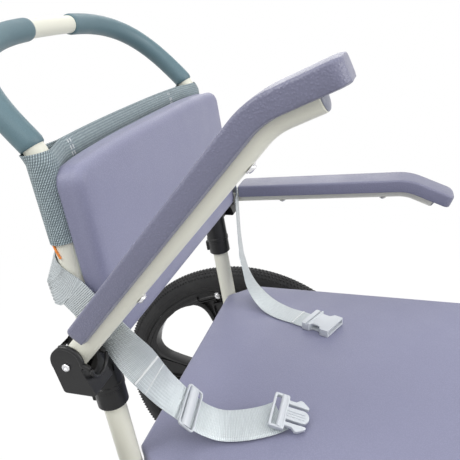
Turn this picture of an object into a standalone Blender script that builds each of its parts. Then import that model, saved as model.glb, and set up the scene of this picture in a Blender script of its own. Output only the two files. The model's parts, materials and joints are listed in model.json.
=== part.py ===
"""Roll-in shower commode chair with flip-up arms, in metres, +Z up.

The front faces -Y and the sitter's left is +X. The origin is on the floor, under
the middle of the chair. The right arm stands half raised and the left arm is down.
"""

import math

import bmesh
import bpy
from mathutils import Matrix, Vector

# Clearances
GAP = 0.0003                        # between pieces that touch or slide
SEAT_POST_CLEARANCE = 0.0035        # between the seat's cut corners and the posts

# Frame tubes
TUBE = 0.025
TUBE_WALL = 0.0012
LIGHT_TUBE = 0.022                  # lower rails, footrest hangers
BOW_CLEARANCE = 0.0005              # push bow inside the posts
OVERALL_LENGTH = 0.900
POST_X = 0.197                      # post axis from the middle of the chair
POST_LEAN = math.radians(6.5)
POST_SETBACK = 0.0121               # post axis behind the axle, at the arm bracket's foot
POST_TOP = 0.272                    # above the arm bracket's foot, along the post
BRACKET_HEIGHT = 0.590              # arm bracket's foot above the floor
LEG_SETBACK = 0.215                 # front leg behind the footplate's front edge
LEG_BOTTOM = 0.200
LEG_BEND = 0.060
LOWER_RAIL_HEIGHT = 0.215
LOWER_RAIL_TAIL = 0.030             # past the axle
REAR_CROSS_HEIGHT = 0.300
FRONT_CROSS_HEIGHT = 0.300

# Push bow and grips
BOW_KNEE = 0.2810                   # along the post, where it starts to bend
BOW_BASE = 0.2855                   # along the post, the foot of its arch
BOW_INSERT = 0.020                  # length inside the post
BOW_RISE = 0.1393
BOW_LEAN = math.radians(43.3)
BOW_ROUNDNESS = 3.1                 # exponent of its rounded arch
GRIP_DIAMETER = 0.026
GRIP_ENDS = {"left": 0.053, "right": 0.030}     # bare tube on each side of the middle

# Back
SLING_BOTTOM = 0.191
SLING_TOP = 0.283
SLING_CLOTH = 0.0012
SLING_SEAM = 0.034                  # from the post axis
BACK_PAD_WIDTH = 0.412
BACK_PAD_BOTTOM = 0.0874
BACK_PAD_TOP = 0.2686
BACK_PAD_THICKNESS = 0.032
BACK_PAD_REAR = 0.0121              # its back in front of the post axis
BACK_BOARD_MARGIN = 0.012           # below the pad's top
BACK_BOARD_SIDE = 0.003             # inside the sling's seams

# Seat
SEAT_HEIGHT = 0.523
SEAT_WIDTH = 0.4414
SEAT_DEPTH = 0.430
SEAT_PAD = 0.040
SEAT_CROWN = 0.003
SEAT_REAR = 0.0050                  # rear edge in front of the post axis
COMMODE_SEAT = 0.018
COMMODE_SEAT_WIDTH = 0.428
COMMODE_SEAT_REAR = 0.003           # behind it, to the posts
HOLE_WIDTH = 0.210
HOLE_DEPTH = 0.270
HOLE_SETBACK = 0.215                # middle of the hole behind the seat's front edge

# Commode pan and its rails
PAN_RAIL_X = 0.159
PAN_RAIL_HEIGHT = 0.020
PAN_RAIL_WIDTH = 0.019
PAN_RAIL_SHEET = 0.003
PAN_RAIL_LENGTH = 0.330
PAN_RIM_RADIUS = 0.132
PAN_FOOT_RADIUS = 0.100
PAN_DEPTH = 0.100
PAN_WALL = 0.003
PAN_FLANGE = 0.004
PAN_FLANGE_DEPTH = 0.280

# Arms
ARM_X = 0.239
PIVOT_ALONG = 0.0918                # above the bracket's foot
PIVOT_FORWARD = 0.0042              # in front of the post axis
ARM_DOWN = math.radians(4.0)
ARM_RAISED = math.radians(49.1)     # the right arm as it stands
ARM_UP = math.radians(97.7)
ARM_REAR = 0.011                    # tube behind the pivot
ARM_STRAIGHT = 0.292
ARM_BEND = 0.060
ARM_DROOP = math.radians(26.0)
ARM_FRONT = 0.028                   # straight length after the bend
ARM_PAD_START = 0.041
ARM_PAD_WIDTH = 0.0476
ARM_PAD_HEIGHT = 0.0203
ARM_PAD_OVERHANG = 0.024            # pad past the tube's end
ARM_SCREWS = (0.1075, 0.2688)       # from the pivot
SCREW_SHANK = 0.004
SCREW_HEAD = 0.008
SCREW_HEAD_HEIGHT = 0.0025
SCREW_GRIP = 0.012                  # length in the pad
PLUG_FLANGE = 0.0025
PLUG_LENGTH = 0.014
PIVOT_BOLT = 0.006
PIVOT_HEAD = 0.0085
PIVOT_HEAD_HEIGHT = 0.003

# Arm brackets
CHEEK = 0.004
CHEEK_RADIUS = 0.0167
CHEEK_RISE = 0.004                  # middle of its crown above the pivot
CHEEK_DROP = 0.031                  # flat foot below the pivot
CHEEK_FRONT = 0.0265
CHEEK_REAR = 0.009
SLEEVE_WALL = 0.0046
SLEEVE_START = 0.0045               # along the post
SLEEVE_LENGTH = 0.0755
ARM_SWEEP = 0.0005                  # room round the tube's rear end

# Wheels
WHEEL_RADIUS = 0.262
WHEEL_X = 0.276
TYRE_WIDTH = 0.036
TYRE_HEIGHT = 0.0365
RIM_WIDTH = 0.028
RIM_DEPTH = 0.0225
WEB = 0.010
HUB_RADIUS = 0.030
HUB_WIDTH = 0.060
SPOKES = 5
WINDOW_ANGLE = math.radians(137.5)  # first window, from the front up
WINDOW_SPAN = math.radians(25.0)    # half its angle
WINDOW_RIM = 0.0185                 # from the rim's outside to a window
WINDOW_HUB = 0.063                  # from the hub to a window
WINDOW_SQUARENESS = 4.2             # exponent of its rounded outline
HAND_RIM_INSET = 0.0035             # its middle inside the rim's outside
HAND_RIM_TUBE = 0.018
HAND_RIM_OFFSET = 0.045
STANDOFF = 0.012
STANDOFF_INSET = 0.0145
AXLE = 0.012
AXLE_HEAD = 0.022
AXLE_HEAD_HEIGHT = 0.007
AXLE_PLATE = 0.006
AXLE_PLATE_RISE = 0.105
AXLE_BOSS = 0.034

# Casters
CASTER_RADIUS = 0.075
CASTER_WIDTH = 0.029
CASTER_TRAIL = 0.035
CASTER_AXLE = 0.008
FORK_SIDE = 0.003
FORK_SIDE_GAP = 0.0025
FORK_CROWN = 0.008
FORK_CROWN_GAP = 0.010
FORK_EAR = 0.014
STEM = 0.018
STEM_LENGTH = 0.045                 # inside the leg
COLLAR = 0.031

# Footrests
HANGER_HEIGHT = 0.360
HANGER_REACH = 0.055
HANGER_SLOPE = 0.030
HANGER_BEND = 0.030
FOOTPLATE_HEIGHT = 0.178            # its hinge above the floor
FOOTPLATE_REACH = 0.179             # from the hinge inwards
FOOTPLATE_DEPTH = 0.155
FOOTPLATE = 0.006
FOOTPLATE_DROP = 0.0125             # plate's top below the hinge
FOOT_TREAD = 0.001                  # raised tread on the plate
FOOT_TREAD_MARGIN = 0.008
FOOT_SLEEVE_WALL = 0.0032
HANGER_END = 0.010                  # tube's end behind the plate's front edge

# Brakes
BRAKE_AHEAD = 0.278                 # pivot in front of the axle
BRAKE_ABOVE = 0.143                 # and above it
BRAKE_OPEN = math.radians(35.0)
BRAKE_ROD = 0.012
BRAKE_HANDLE = 0.090
BRAKE_HANDLE_LEAN = math.radians(16.0)
BRAKE_HUB = 0.026
BRAKE_PIN = 0.010
BRAKE_PLATE = 0.006
BRAKE_PLATE_WIDTH = 0.040
BRAKE_STANDOFF = 0.010
BRAKE_SEAT_CLEARANCE = 0.004        # lever outside the seat pad
BRAKE_SHOE_REACH = 0.014            # shoe past the middle of the tyre
BRAKE_BEND = 0.012

# Belt
BELT = 0.038
BELT_CLOTH = 0.0015
BELT_ALONG = 0.170                  # middle of the loops along the posts, inside them
BELT_SLOPE = math.radians(45.0)     # of the loops where they leave the posts
BELT_LEVEL = 160.0                  # degrees from there in which the slope starts
BELT_SLACK = 0.0014                 # loops wider by this where they slope
BELT_TILT = math.radians(24.0)      # of the right belt where it lies
BUCKLE_WIDTH = 0.046
BUCKLE_LENGTH = 0.046
BUCKLE_HEIGHT = 0.011
BUCKLE_PLATE = 0.006
PLUG_OVERLAP = 0.0118               # plug over the belt's end
PLUG_LIFT = 0.0046
SLIDER_WIDTH = 0.050
SLIDER_LENGTH = 0.026
SLIDER_HEIGHT = 0.003
SLIDER_LIFT = 0.0022                # above the belt, where it bends

SIDES = (("left", 1), ("right", -1))
TUBE_SIDES = 12
SMALL_SIDES = 10
WHEEL_STEPS = 32
CASTER_STEPS = 14
FASTENER_SIDES = 8

# Places that follow from the sizes
AXLE_Y = OVERALL_LENGTH / 2 - WHEEL_RADIUS
FRONT_Y = -OVERALL_LENGTH / 2
LEG_Y = FRONT_Y + LEG_SETBACK
POST_Y = AXLE_Y + POST_SETBACK
PAD_BOTTOM = SEAT_HEIGHT - SEAT_PAD
COMMODE_TOP = PAD_BOTTOM - GAP
COMMODE_BOTTOM = COMMODE_TOP - COMMODE_SEAT
RAIL_HEIGHT = COMMODE_BOTTOM - GAP - TUBE / 2
BOW_TUBE = TUBE - 2 * TUBE_WALL - 2 * BOW_CLEARANCE
RIM_RADIUS = WHEEL_RADIUS - TYRE_HEIGHT
SLOT_HALF = TUBE / 2 + GAP
BELT_RADIUS = TUBE / 2 + 2 * GAP + BELT_CLOTH / 2
CHEEK_OUTSIDE = SLOT_HALF + CHEEK
STEP = 2 * math.pi / TUBE_SIDES


for old in list(bpy.data.objects):
    bpy.data.objects.remove(old, do_unlink=True)

chair = bpy.data.collections.new("shower_commode_chair")
cutters = bpy.data.collections.new("cutters")
bpy.context.scene.collection.children.link(chair)
bpy.context.scene.collection.children.link(cutters)


def finish(name, colour, roughness, metallic=0.0):
    """A material of one colour."""
    material = bpy.data.materials.new(name)
    material.use_nodes = True
    shader = material.node_tree.nodes["Principled BSDF"]
    shader.inputs["Base Color"].default_value = (*colour, 1.0)
    shader.inputs["Roughness"].default_value = roughness
    shader.inputs["Metallic"].default_value = metallic
    return material


cream = finish("cream_coat", (0.78, 0.77, 0.66), 0.4)
lavender = finish("lavender_foam", (0.27, 0.26, 0.40), 0.55)
slate = finish("slate_mesh", (0.13, 0.22, 0.25), 0.85)
teal = finish("teal_grip", (0.10, 0.20, 0.24), 0.7)
black = finish("black_plastic", (0.02, 0.02, 0.022), 0.5)
rubber = finish("black_rubber", (0.03, 0.03, 0.03), 0.8)
steel = finish("bright_steel", (0.75, 0.75, 0.76), 0.25, 1.0)
webbing = finish("silver_webbing", (0.62, 0.66, 0.68), 0.6)
buckle_plastic = finish("grey_buckle", (0.55, 0.58, 0.62), 0.45)
white_plastic = finish("white_plastic", (0.82, 0.82, 0.80), 0.4)
grey_plastic = finish("grey_plastic", (0.35, 0.36, 0.38), 0.5)


# Making and joining shapes

def keep(thing, material, parent=None):
    """Give a finished piece its material and its place among the parts."""
    thing.data.materials.clear()
    thing.data.materials.append(material)
    thing.data.shade_smooth()
    thing.data.set_sharp_from_angle(angle=math.radians(35))
    if parent is not None:
        thing.parent = parent
    return thing


def from_bmesh(name, bm, matrix=None):
    """A new object in the parts' collection from a bmesh."""
    mesh = bpy.data.meshes.new(name)
    bm.to_mesh(mesh)
    bm.free()
    thing = bpy.data.objects.new(name, mesh)
    chair.objects.link(thing)
    if matrix is not None:
        thing.matrix_world = matrix
    return thing


def curve_to_mesh(curve_object):
    """Swap a curve object for a welded mesh object of the same name and place."""
    bpy.context.view_layer.update()
    evaluated = curve_object.evaluated_get(bpy.context.evaluated_depsgraph_get())
    mesh = bpy.data.meshes.new_from_object(evaluated)
    bm = bmesh.new()
    bm.from_mesh(mesh)
    bmesh.ops.remove_doubles(bm, verts=bm.verts, dist=0.000001)
    name = curve_object.name
    matrix = curve_object.matrix_world.copy()
    bpy.data.objects.remove(curve_object, do_unlink=True)
    bpy.data.meshes.remove(mesh)
    return from_bmesh(name, bm, matrix)


def sweep(name, points, diameter, sides=TUBE_SIDES, caps=True):
    """A round bar, or an open tube wall, along a list of points."""
    data = bpy.data.curves.new(name, "CURVE")
    data.dimensions = "3D"
    data.bevel_depth = diameter / 2
    data.bevel_resolution = sides // 2 - 2
    data.use_fill_caps = caps
    spline = data.splines.new("POLY")
    spline.points.add(len(points) - 1)
    for spot, point in zip(spline.points, points):
        spot.co = (*point, 1.0)
    curve_object = bpy.data.objects.new(name, data)
    chair.objects.link(curve_object)
    return curve_to_mesh(curve_object)


def tube(name, points, diameter, wall, material, sides=TUBE_SIDES, parent=None):
    """A hollow tube with open ends."""
    thing = sweep(name, points, diameter, sides, caps=False)
    solid = thing.modifiers.new("wall", "SOLIDIFY")
    solid.thickness = wall
    solid.offset = -1
    return keep(thing, material, parent)


def prism(name, outlines, thickness, matrix=None):
    """Flat outlines, holes among them, given a thickness about their plane."""
    data = bpy.data.curves.new(name, "CURVE")
    data.dimensions = "2D"
    data.fill_mode = "BOTH"
    data.extrude = thickness / 2
    for outline in outlines:
        spline = data.splines.new("POLY")
        spline.points.add(len(outline) - 1)
        spline.use_cyclic_u = True
        for spot, (x, y) in zip(spline.points, outline):
            spot.co = (x, y, 0.0, 1.0)
    curve_object = bpy.data.objects.new(name, data)
    chair.objects.link(curve_object)
    if matrix is not None:
        curve_object.matrix_world = matrix
    return curve_to_mesh(curve_object)


def bar(name, start, end, radius, sides=TUBE_SIDES, end_radius=None):
    """A round bar or cone between two points."""
    start = Vector(start)
    end = Vector(end)
    along = end - start
    turn = along.to_track_quat("Z", "Y").to_matrix().to_4x4()
    bm = bmesh.new()
    bmesh.ops.create_cone(
        bm, cap_ends=True, segments=sides, radius1=radius,
        radius2=radius if end_radius is None else end_radius, depth=along.length,
        matrix=Matrix.Translation((start + end) / 2) @ turn)
    return from_bmesh(name, bm)


def block(name, low, high):
    """A box between two corners."""
    low = Vector(low)
    high = Vector(high)
    bm = bmesh.new()
    bmesh.ops.create_cube(bm, size=1.0)
    bmesh.ops.scale(bm, verts=bm.verts, vec=high - low)
    bmesh.ops.translate(bm, verts=bm.verts, vec=(low + high) / 2)
    return from_bmesh(name, bm)


def turned(name, profile, steps, matrix, closed=True):
    """A profile of (radius, height) points turned about its own Z axis."""
    bm = bmesh.new()
    verts = [bm.verts.new((radius, 0.0, height)) for radius, height in profile]
    for first, second in zip(verts, verts[1:]):
        bm.edges.new((first, second))
    if closed:
        bm.edges.new((verts[-1], verts[0]))
    thing = from_bmesh(name, bm, matrix)
    screw = thing.modifiers.new("turn", "SCREW")
    screw.steps = steps
    screw.render_steps = steps
    screw.use_merge_vertices = True
    screw.merge_threshold = 0.00001
    return thing


def combine(thing, other, operation, parent=None):
    """Cut a piece with another, or join the other to it."""
    modifier = thing.modifiers.new(other.name, "BOOLEAN")
    modifier.operation = operation
    modifier.object = other
    chair.objects.unlink(other)
    cutters.objects.link(other)
    other.hide_render = True
    other.display_type = "WIRE"
    if parent is not None:
        other.parent = parent


def cut(thing, other, parent=None):
    combine(thing, other, "DIFFERENCE", parent)


def join(thing, other, parent=None):
    combine(thing, other, "UNION", parent)


def bore(radius, sides=TUBE_SIDES):
    """Radius of a many-sided hole that clears a round piece of this radius."""
    return (radius + GAP) / math.cos(math.pi / sides)


# Paths and places

def arc_path(corners, radius, steps=4):
    """A path through corner points with its inner corners rounded."""
    corners = [Vector(corner) for corner in corners]
    path = [corners[0]]
    for before, corner, after in zip(corners, corners[1:], corners[2:]):
        inward = (before - corner).normalized()
        outward = (after - corner).normalized()
        half = inward.angle(outward) / 2
        reach = radius / math.tan(half)
        centre = corner + (inward + outward).normalized() * radius / math.sin(half)
        first = corner + inward * reach - centre
        last = corner + outward * reach - centre
        turn = first.angle(last)
        for step in range(steps + 1):
            share = step / steps
            mix = (first * math.sin((1 - share) * turn) + last * math.sin(share * turn)) / math.sin(turn)
            path.append(centre + mix)
    path.append(corners[-1])
    return path


def post_y(height):
    """Where the posts' axes are at a height."""
    return POST_Y + (height - BRACKET_HEIGHT) * math.tan(POST_LEAN)


def on_post(x, along, forward=0.0):
    """A point beside a post: up along it from the bracket's foot, and forward of it."""
    y = POST_Y + along * math.sin(POST_LEAN) - forward * math.cos(POST_LEAN)
    z = BRACKET_HEIGHT + along * math.cos(POST_LEAN) + forward * math.sin(POST_LEAN)
    return Vector((x, y, z))


def post_frame(along, forward):
    """A frame on the back: X across, Y up along the posts, Z forward."""
    sine = math.sin(POST_LEAN)
    cosine = math.cos(POST_LEAN)
    place = on_post(0.0, along, forward)
    return Matrix(((1, 0, 0, place.x), (0, sine, -cosine, place.y), (0, cosine, sine, place.z), (0, 0, 0, 1)))


def side_frame(x):
    """A frame for side outlines: X is +Y, Y is +Z and thickness is along X."""
    return Matrix(((0, 0, 1, x), (1, 0, 0, 0), (0, 1, 0, 0), (0, 0, 0, 1)))


def wheel_frame(sign, x, y, height):
    """A frame for turned pieces whose axle points outwards from the chair."""
    turn = Matrix.Rotation(sign * math.pi / 2, 4, "Y")
    return Matrix.Translation((sign * x, y, height)) @ turn


def oval(centre, half_width, half_height, power, count):
    """Points of a rounded rectangle between an ellipse and a box."""
    points = []
    for number in range(count):
        angle = 2 * math.pi * number / count
        across = math.cos(angle)
        up = math.sin(angle)
        x = math.copysign(abs(across) ** (2 / power), across) * half_width
        y = math.copysign(abs(up) ** (2 / power), up) * half_height
        points.append((centre[0] + x, centre[1] + y))
    return points


def circle_points(centre, radius, start, end, count):
    """Points along an arc, ends included."""
    points = []
    for number in range(count + 1):
        angle = start + (end - start) * number / count
        points.append((centre[0] + radius * math.cos(angle), centre[1] + radius * math.sin(angle)))
    return points


# Soft pieces

def cushion(name, size, edge, crown, pull, material, matrix, cut_corner=0.0):
    """A padded block with a crowned face (+Z), drawn-in sides and a flat back.

    A cut corner takes the two corners at +Y off at 45 degrees.
    """
    half_x, half_y, half_z = (length / 2 for length in size)
    bm = bmesh.new()
    bmesh.ops.create_cube(bm, size=2.0)
    bmesh.ops.subdivide_edges(bm, edges=bm.edges, cuts=2, use_grid_fill=True)
    for vert in bm.verts:
        u, v, w = (round(3 * value) for value in vert.co)
        margin = max(edge, cut_corner) if cut_corner else edge
        x = math.copysign(half_x if abs(u) == 3 else half_x - margin, u)
        y = math.copysign(half_y if abs(v) == 3 else half_y - margin, v)
        z = half_z * w / 3
        on_side_x = abs(u) == 3
        on_side_y = abs(v) == 3
        if w == 3:
            z -= crown if (on_side_x or on_side_y) else 0.0
        if on_side_x and not on_side_y:
            x -= math.copysign(pull if abs(w) == 1 else 0.0, u)
        if on_side_y and not on_side_x:
            y -= math.copysign(pull if abs(w) == 1 else 0.0, v)
        if on_side_x and on_side_y:
            take = cut_corner / 2 if (cut_corner and v > 0) else pull
            x -= math.copysign(take, u)
            y -= math.copysign(take, v)
        vert.co = (x, y, z)
    thing = from_bmesh(name, bm, matrix)
    smooth = thing.modifiers.new("soft", "SUBSURF")
    smooth.levels = 2
    smooth.render_levels = 2
    return keep(thing, material)


def smooth_line(points, count):
    """A smooth curve through points, read at even parameter steps."""
    points = [Vector(point) for point in points]
    ends = [2 * points[0] - points[1]] + points + [2 * points[-1] - points[-2]]
    line = []
    pieces = len(points) - 1
    for number in range(count + 1):
        place = number / count * pieces
        piece = min(int(place), pieces - 1)
        t = place - piece
        a, b, c, d = ends[piece:piece + 4]
        line.append(0.5 * (2 * b + (c - a) * t + (2 * a - 5 * b + 4 * c - d) * t * t
                           + (3 * b - a - 3 * c + d) * t * t * t))
    return line


def strap(name, middles, acrosses, count, material):
    """Flat webbing along its middle line, with the direction of its width at each point.

    Returns the direction in which its end points.
    """
    line = smooth_line(middles, count)
    widths = smooth_line(acrosses, count)
    bm = bmesh.new()
    bmesh.ops.create_grid(bm, x_segments=count, y_segments=1, size=1.0)
    for vert in bm.verts:
        place = round((vert.co.x + 1) / 2 * count)
        ahead = line[min(place + 1, count)] - line[max(place - 1, 0)]
        across = widths[place] - ahead * (widths[place].dot(ahead) / ahead.length_squared)
        vert.co = line[place] + across.normalized() * vert.co.y * BELT / 2
    thing = from_bmesh(name, bm)
    solid = thing.modifiers.new("cloth", "SOLIDIFY")
    solid.thickness = BELT_CLOTH
    solid.offset = 0
    keep(thing, material)
    return line[count] - line[count - 1]


# The frame

def build_frame():
    rail_top = LOWER_RAIL_HEIGHT + LIGHT_TUBE / 2
    post_foot_height = rail_top + GAP + TUBE / 2 * math.sin(POST_LEAN)
    post_foot = (post_foot_height - BRACKET_HEIGHT) / math.cos(POST_LEAN)
    rail_rear = post_y(RAIL_HEIGHT) - (TUBE / 2 + GAP) / math.cos(POST_LEAN) - TUBE / 2 * math.tan(POST_LEAN)
    for side, sign in SIDES:
        x = sign * POST_X
        tube(f"rear_post_{side}", [on_post(x, post_foot), on_post(x, POST_TOP)], TUBE, TUBE_WALL, cream)
        corners = [(x, rail_rear, RAIL_HEIGHT), (x, LEG_Y, RAIL_HEIGHT), (x, LEG_Y, LEG_BOTTOM)]
        tube(f"side_tube_{side}", arc_path(corners, LEG_BEND), TUBE, TUBE_WALL, cream)
        ends = [(x, LEG_Y + TUBE / 2 + GAP, LOWER_RAIL_HEIGHT),
                (x, AXLE_Y + LOWER_RAIL_TAIL, LOWER_RAIL_HEIGHT)]
        tube(f"lower_rail_{side}", ends, LIGHT_TUBE, TUBE_WALL, cream, SMALL_SIDES)
        build_axle_plate(side, sign, rail_top)
    reach = POST_X - TUBE / 2 - GAP
    for name, y, height in (("rear_cross_tube", post_y(REAR_CROSS_HEIGHT), REAR_CROSS_HEIGHT),
                            ("front_cross_tube", LEG_Y, FRONT_CROSS_HEIGHT)):
        tube(name, [(-reach, y, height), (reach, y, height)], LIGHT_TUBE, TUBE_WALL, cream, SMALL_SIDES)


def build_axle_plate(side, sign, rail_top):
    """Plate behind the post, hollowed to fit it, that carries the axle in a boss."""
    beside = (TUBE / 2 + GAP) / math.cos(POST_LEAN)
    low = rail_top + GAP
    high = low + AXLE_PLATE_RISE
    rear = AXLE_Y + AXLE_BOSS / 2 + WEB
    outline = [(post_y(low), low), (rear, low), (rear, WHEEL_RADIUS + AXLE_BOSS / 2),
               (post_y(high) + beside + WEB, high), (post_y(high), high)]
    plate = prism(f"axle_plate_{side}", [outline], AXLE_PLATE, side_frame(sign * POST_X))
    inner = sign * (POST_X - AXLE_PLATE / 2)
    outer = sign * (WHEEL_X - HUB_WIDTH / 2 - GAP)
    join(plate, bar("boss", (inner, AXLE_Y, WHEEL_RADIUS), (outer, AXLE_Y, WHEEL_RADIUS), AXLE_BOSS / 2))
    cut(plate, bar("axle_hole", (0.0, AXLE_Y, WHEEL_RADIUS), (sign * WHEEL_X, AXLE_Y, WHEEL_RADIUS),
                   bore(AXLE / 2)))
    room = [Vector((sign * POST_X, post_y(height), height)) for height in (low - TUBE, high + TUBE)]
    cut(plate, bar("post_room", room[0], room[1], bore(TUBE / 2)))
    keep(plate, cream)


def bow_point(quarter):
    """A point of the push bow's arch; the quarter runs from -1 (right foot) to 1 (left foot)."""
    angle = quarter * math.pi / 2
    x = math.copysign(abs(math.sin(angle)) ** (2 / BOW_ROUNDNESS), angle) * POST_X
    rise = math.cos(angle) ** (2 / BOW_ROUNDNESS) * BOW_RISE
    foot = on_post(x, BOW_BASE)
    return foot + Vector((0.0, math.sin(BOW_LEAN), math.cos(BOW_LEAN))) * rise


def build_bow():
    """Push bow, plugged into the posts, with a grip on each side."""
    steps = 9
    arch = [bow_point(math.sin(number / steps * math.pi / 2)) for number in range(1 - steps, steps)]
    left_foot = [on_post(POST_X, POST_TOP - BOW_INSERT), on_post(POST_X, BOW_KNEE)]
    right_foot = [on_post(-POST_X, POST_TOP - BOW_INSERT), on_post(-POST_X, BOW_KNEE)]
    path = right_foot + arch + left_foot[::-1]
    tube("push_bow", path, BOW_TUBE, TUBE_WALL, cream)
    inner = bore(BOW_TUBE / 2)
    for side, sign in SIDES:
        held = grip_line(arch[::sign], sign, GRIP_ENDS[side])
        tube(f"grip_{side}", held, GRIP_DIAMETER, GRIP_DIAMETER / 2 - inner, teal)


def grip_line(arch, sign, end):
    """The part of the arch from a grip's end near the middle down to the post."""
    line = []
    for before, after in zip(arch, arch[1:]):
        here = before.x * sign - end
        there = after.x * sign - end
        if here < 0 <= there:
            line.append(before.lerp(after, here / (here - there)))
        if there > 0:
            line.append(after)
    return line


def build_back():
    """Mesh sling on the posts, a board and the back pad, grooved for the posts."""
    sleeve_in = TUBE / 2 + GAP
    sleeve_out = sleeve_in + SLING_CLOTH
    slack = math.acos(sleeve_out / SLING_SEAM)
    outer = []
    holes = []
    for sign in (1, -1):
        turn = 0.0 if sign > 0 else math.pi
        centre = (sign * POST_X, 0.0)
        start = turn - math.pi + slack
        end = turn + math.pi - slack
        outer += circle_points(centre, sleeve_out / math.cos(STEP / 2), start, end, TUBE_SIDES)
        tip = (sign * (POST_X - SLING_SEAM + 2 * SLING_CLOTH), 0.0)
        holes.append(circle_points(centre, sleeve_in / math.cos(STEP / 2), start, end, TUBE_SIDES) + [tip])
        seam = sign * (POST_X - SLING_SEAM)
        outer += [(seam, SLING_CLOTH * sign), (-seam, SLING_CLOTH * sign)]
    middle = (SLING_TOP + SLING_BOTTOM) / 2
    frame = post_frame(middle, 0.0) @ Matrix.Rotation(-math.pi / 2, 4, "X")
    sling = prism("back_sling", [outer] + holes, SLING_TOP - SLING_BOTTOM, frame)
    keep(sling, slate)
    board_half = POST_X - SLING_SEAM - BACK_BOARD_SIDE
    low = SLING_BOTTOM
    high = BACK_PAD_TOP - BACK_BOARD_MARGIN
    board = block("back_board", (-board_half, -(high - low) / 2, SLING_CLOTH + GAP),
                  (board_half, (high - low) / 2, BACK_PAD_REAR - GAP))
    board.matrix_world = post_frame((low + high) / 2, 0.0)
    keep(board, black)
    size = (BACK_PAD_WIDTH, BACK_PAD_TOP - BACK_PAD_BOTTOM, BACK_PAD_THICKNESS)
    frame = post_frame((BACK_PAD_TOP + BACK_PAD_BOTTOM) / 2, BACK_PAD_REAR + BACK_PAD_THICKNESS / 2)
    pad = cushion("back_pad", size, 0.022, 0.002, 0.001, lavender, frame)
    groove = bore(BELT_RADIUS + BELT_CLOTH / 2, 2 * TUBE_SIDES)
    for sign in (1, -1):
        x = sign * POST_X
        cut(pad, bar("groove", on_post(x, BACK_PAD_BOTTOM - TUBE), on_post(x, BACK_PAD_TOP + TUBE), groove,
                     2 * TUBE_SIDES))


# The seat and the commode

def build_seat():
    """Lift-off seat pad over a board with the commode hole."""
    rear = post_y(SEAT_HEIGHT) - SEAT_REAR
    front = rear - SEAT_DEPTH
    half = SEAT_WIDTH / 2
    corner = math.sqrt(2) * (TUBE / 2 + SEAT_POST_CLEARANCE) + half - POST_X - SEAT_REAR
    frame = Matrix.Translation((0.0, (rear + front) / 2, PAD_BOTTOM + SEAT_PAD / 2))
    cushion("seat_pad", (SEAT_WIDTH, SEAT_DEPTH, SEAT_PAD), 0.030, SEAT_CROWN, 0.0015, lavender, frame, corner)
    board_rear = post_y(COMMODE_BOTTOM) - TUBE / 2 / math.cos(POST_LEAN) - COMMODE_SEAT_REAR
    board_middle = (board_rear + front) / 2
    board = oval((0.0, board_middle), COMMODE_SEAT_WIDTH / 2, (board_rear - front) / 2, 12, 28)
    hole = oval((0.0, front + HOLE_SETBACK), HOLE_WIDTH / 2, HOLE_DEPTH / 2, 2.5, 20)
    seat = prism("commode_seat", [board, hole], COMMODE_SEAT,
                 Matrix.Translation((0.0, 0.0, COMMODE_BOTTOM + COMMODE_SEAT / 2)))
    keep(seat, white_plastic)
    build_pan(front + HOLE_SETBACK)


def build_pan(hole_y):
    """Two channel rails under the commode seat and the pan that slides in them."""
    top = COMMODE_BOTTOM - GAP
    bottom = top - PAN_RAIL_HEIGHT
    inside = PAN_RAIL_X - PAN_RAIL_WIDTH
    web = PAN_RAIL_X - PAN_RAIL_SHEET
    channel = [(inside, top), (inside, top - PAN_RAIL_SHEET), (web, top - PAN_RAIL_SHEET),
               (web, bottom + PAN_RAIL_SHEET), (inside, bottom + PAN_RAIL_SHEET), (inside, bottom),
               (PAN_RAIL_X, bottom), (PAN_RAIL_X, top)]
    for side, sign in SIDES:
        frame = Matrix(((1, 0, 0, 0), (0, 0, -1, hole_y), (0, 1, 0, 0), (0, 0, 0, 1)))
        outline = [(sign * x, z) for x, z in channel]
        keep(prism(f"pan_rail_{side}", [outline], PAN_RAIL_LENGTH, frame), steel)
    low = bottom + PAN_RAIL_SHEET + GAP
    high = low + PAN_FLANGE
    inner = PAN_RIM_RADIUS - PAN_WALL
    foot = PAN_FOOT_RADIUS - PAN_WALL
    profile = [(0.0, high - PAN_DEPTH + PAN_WALL), (foot, high - PAN_DEPTH + PAN_WALL), (inner, high),
               (PAN_RIM_RADIUS, high), (PAN_FOOT_RADIUS, high - PAN_DEPTH), (0.0, high - PAN_DEPTH)]
    pan = turned("commode_pan", profile, 24, Matrix.Translation((0.0, hole_y, 0.0)), closed=False)
    half = web - GAP
    flange = block("pan_flange", (-half, hole_y - PAN_FLANGE_DEPTH / 2, low),
                   (half, hole_y + PAN_FLANGE_DEPTH / 2, high))
    mouth = bar("pan_mouth", (0.0, hole_y, low - PAN_DEPTH), (0.0, hole_y, high + PAN_DEPTH),
                PAN_RIM_RADIUS - PAN_WALL / 2, 24)
    cut(flange, mouth)
    join(pan, flange)
    keep(pan, white_plastic)


# The arms

def arm_line(start, overhang):
    """Stations along an arm: (length from the pivot, height, droop) to the tube's end and past it."""
    stations = [(start, 0.0, 0.0), (ARM_STRAIGHT, 0.0, 0.0)]
    steps = 3
    for step in range(1, steps + 1):
        droop = ARM_DROOP * step / steps
        stations.append((ARM_STRAIGHT + ARM_BEND * math.sin(droop), -ARM_BEND * (1 - math.cos(droop)), droop))
    last = ARM_FRONT + overhang
    length, height, droop = stations[-1]
    stations.append((length + last * math.cos(droop), height - last * math.sin(droop), droop))
    return stations


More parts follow.
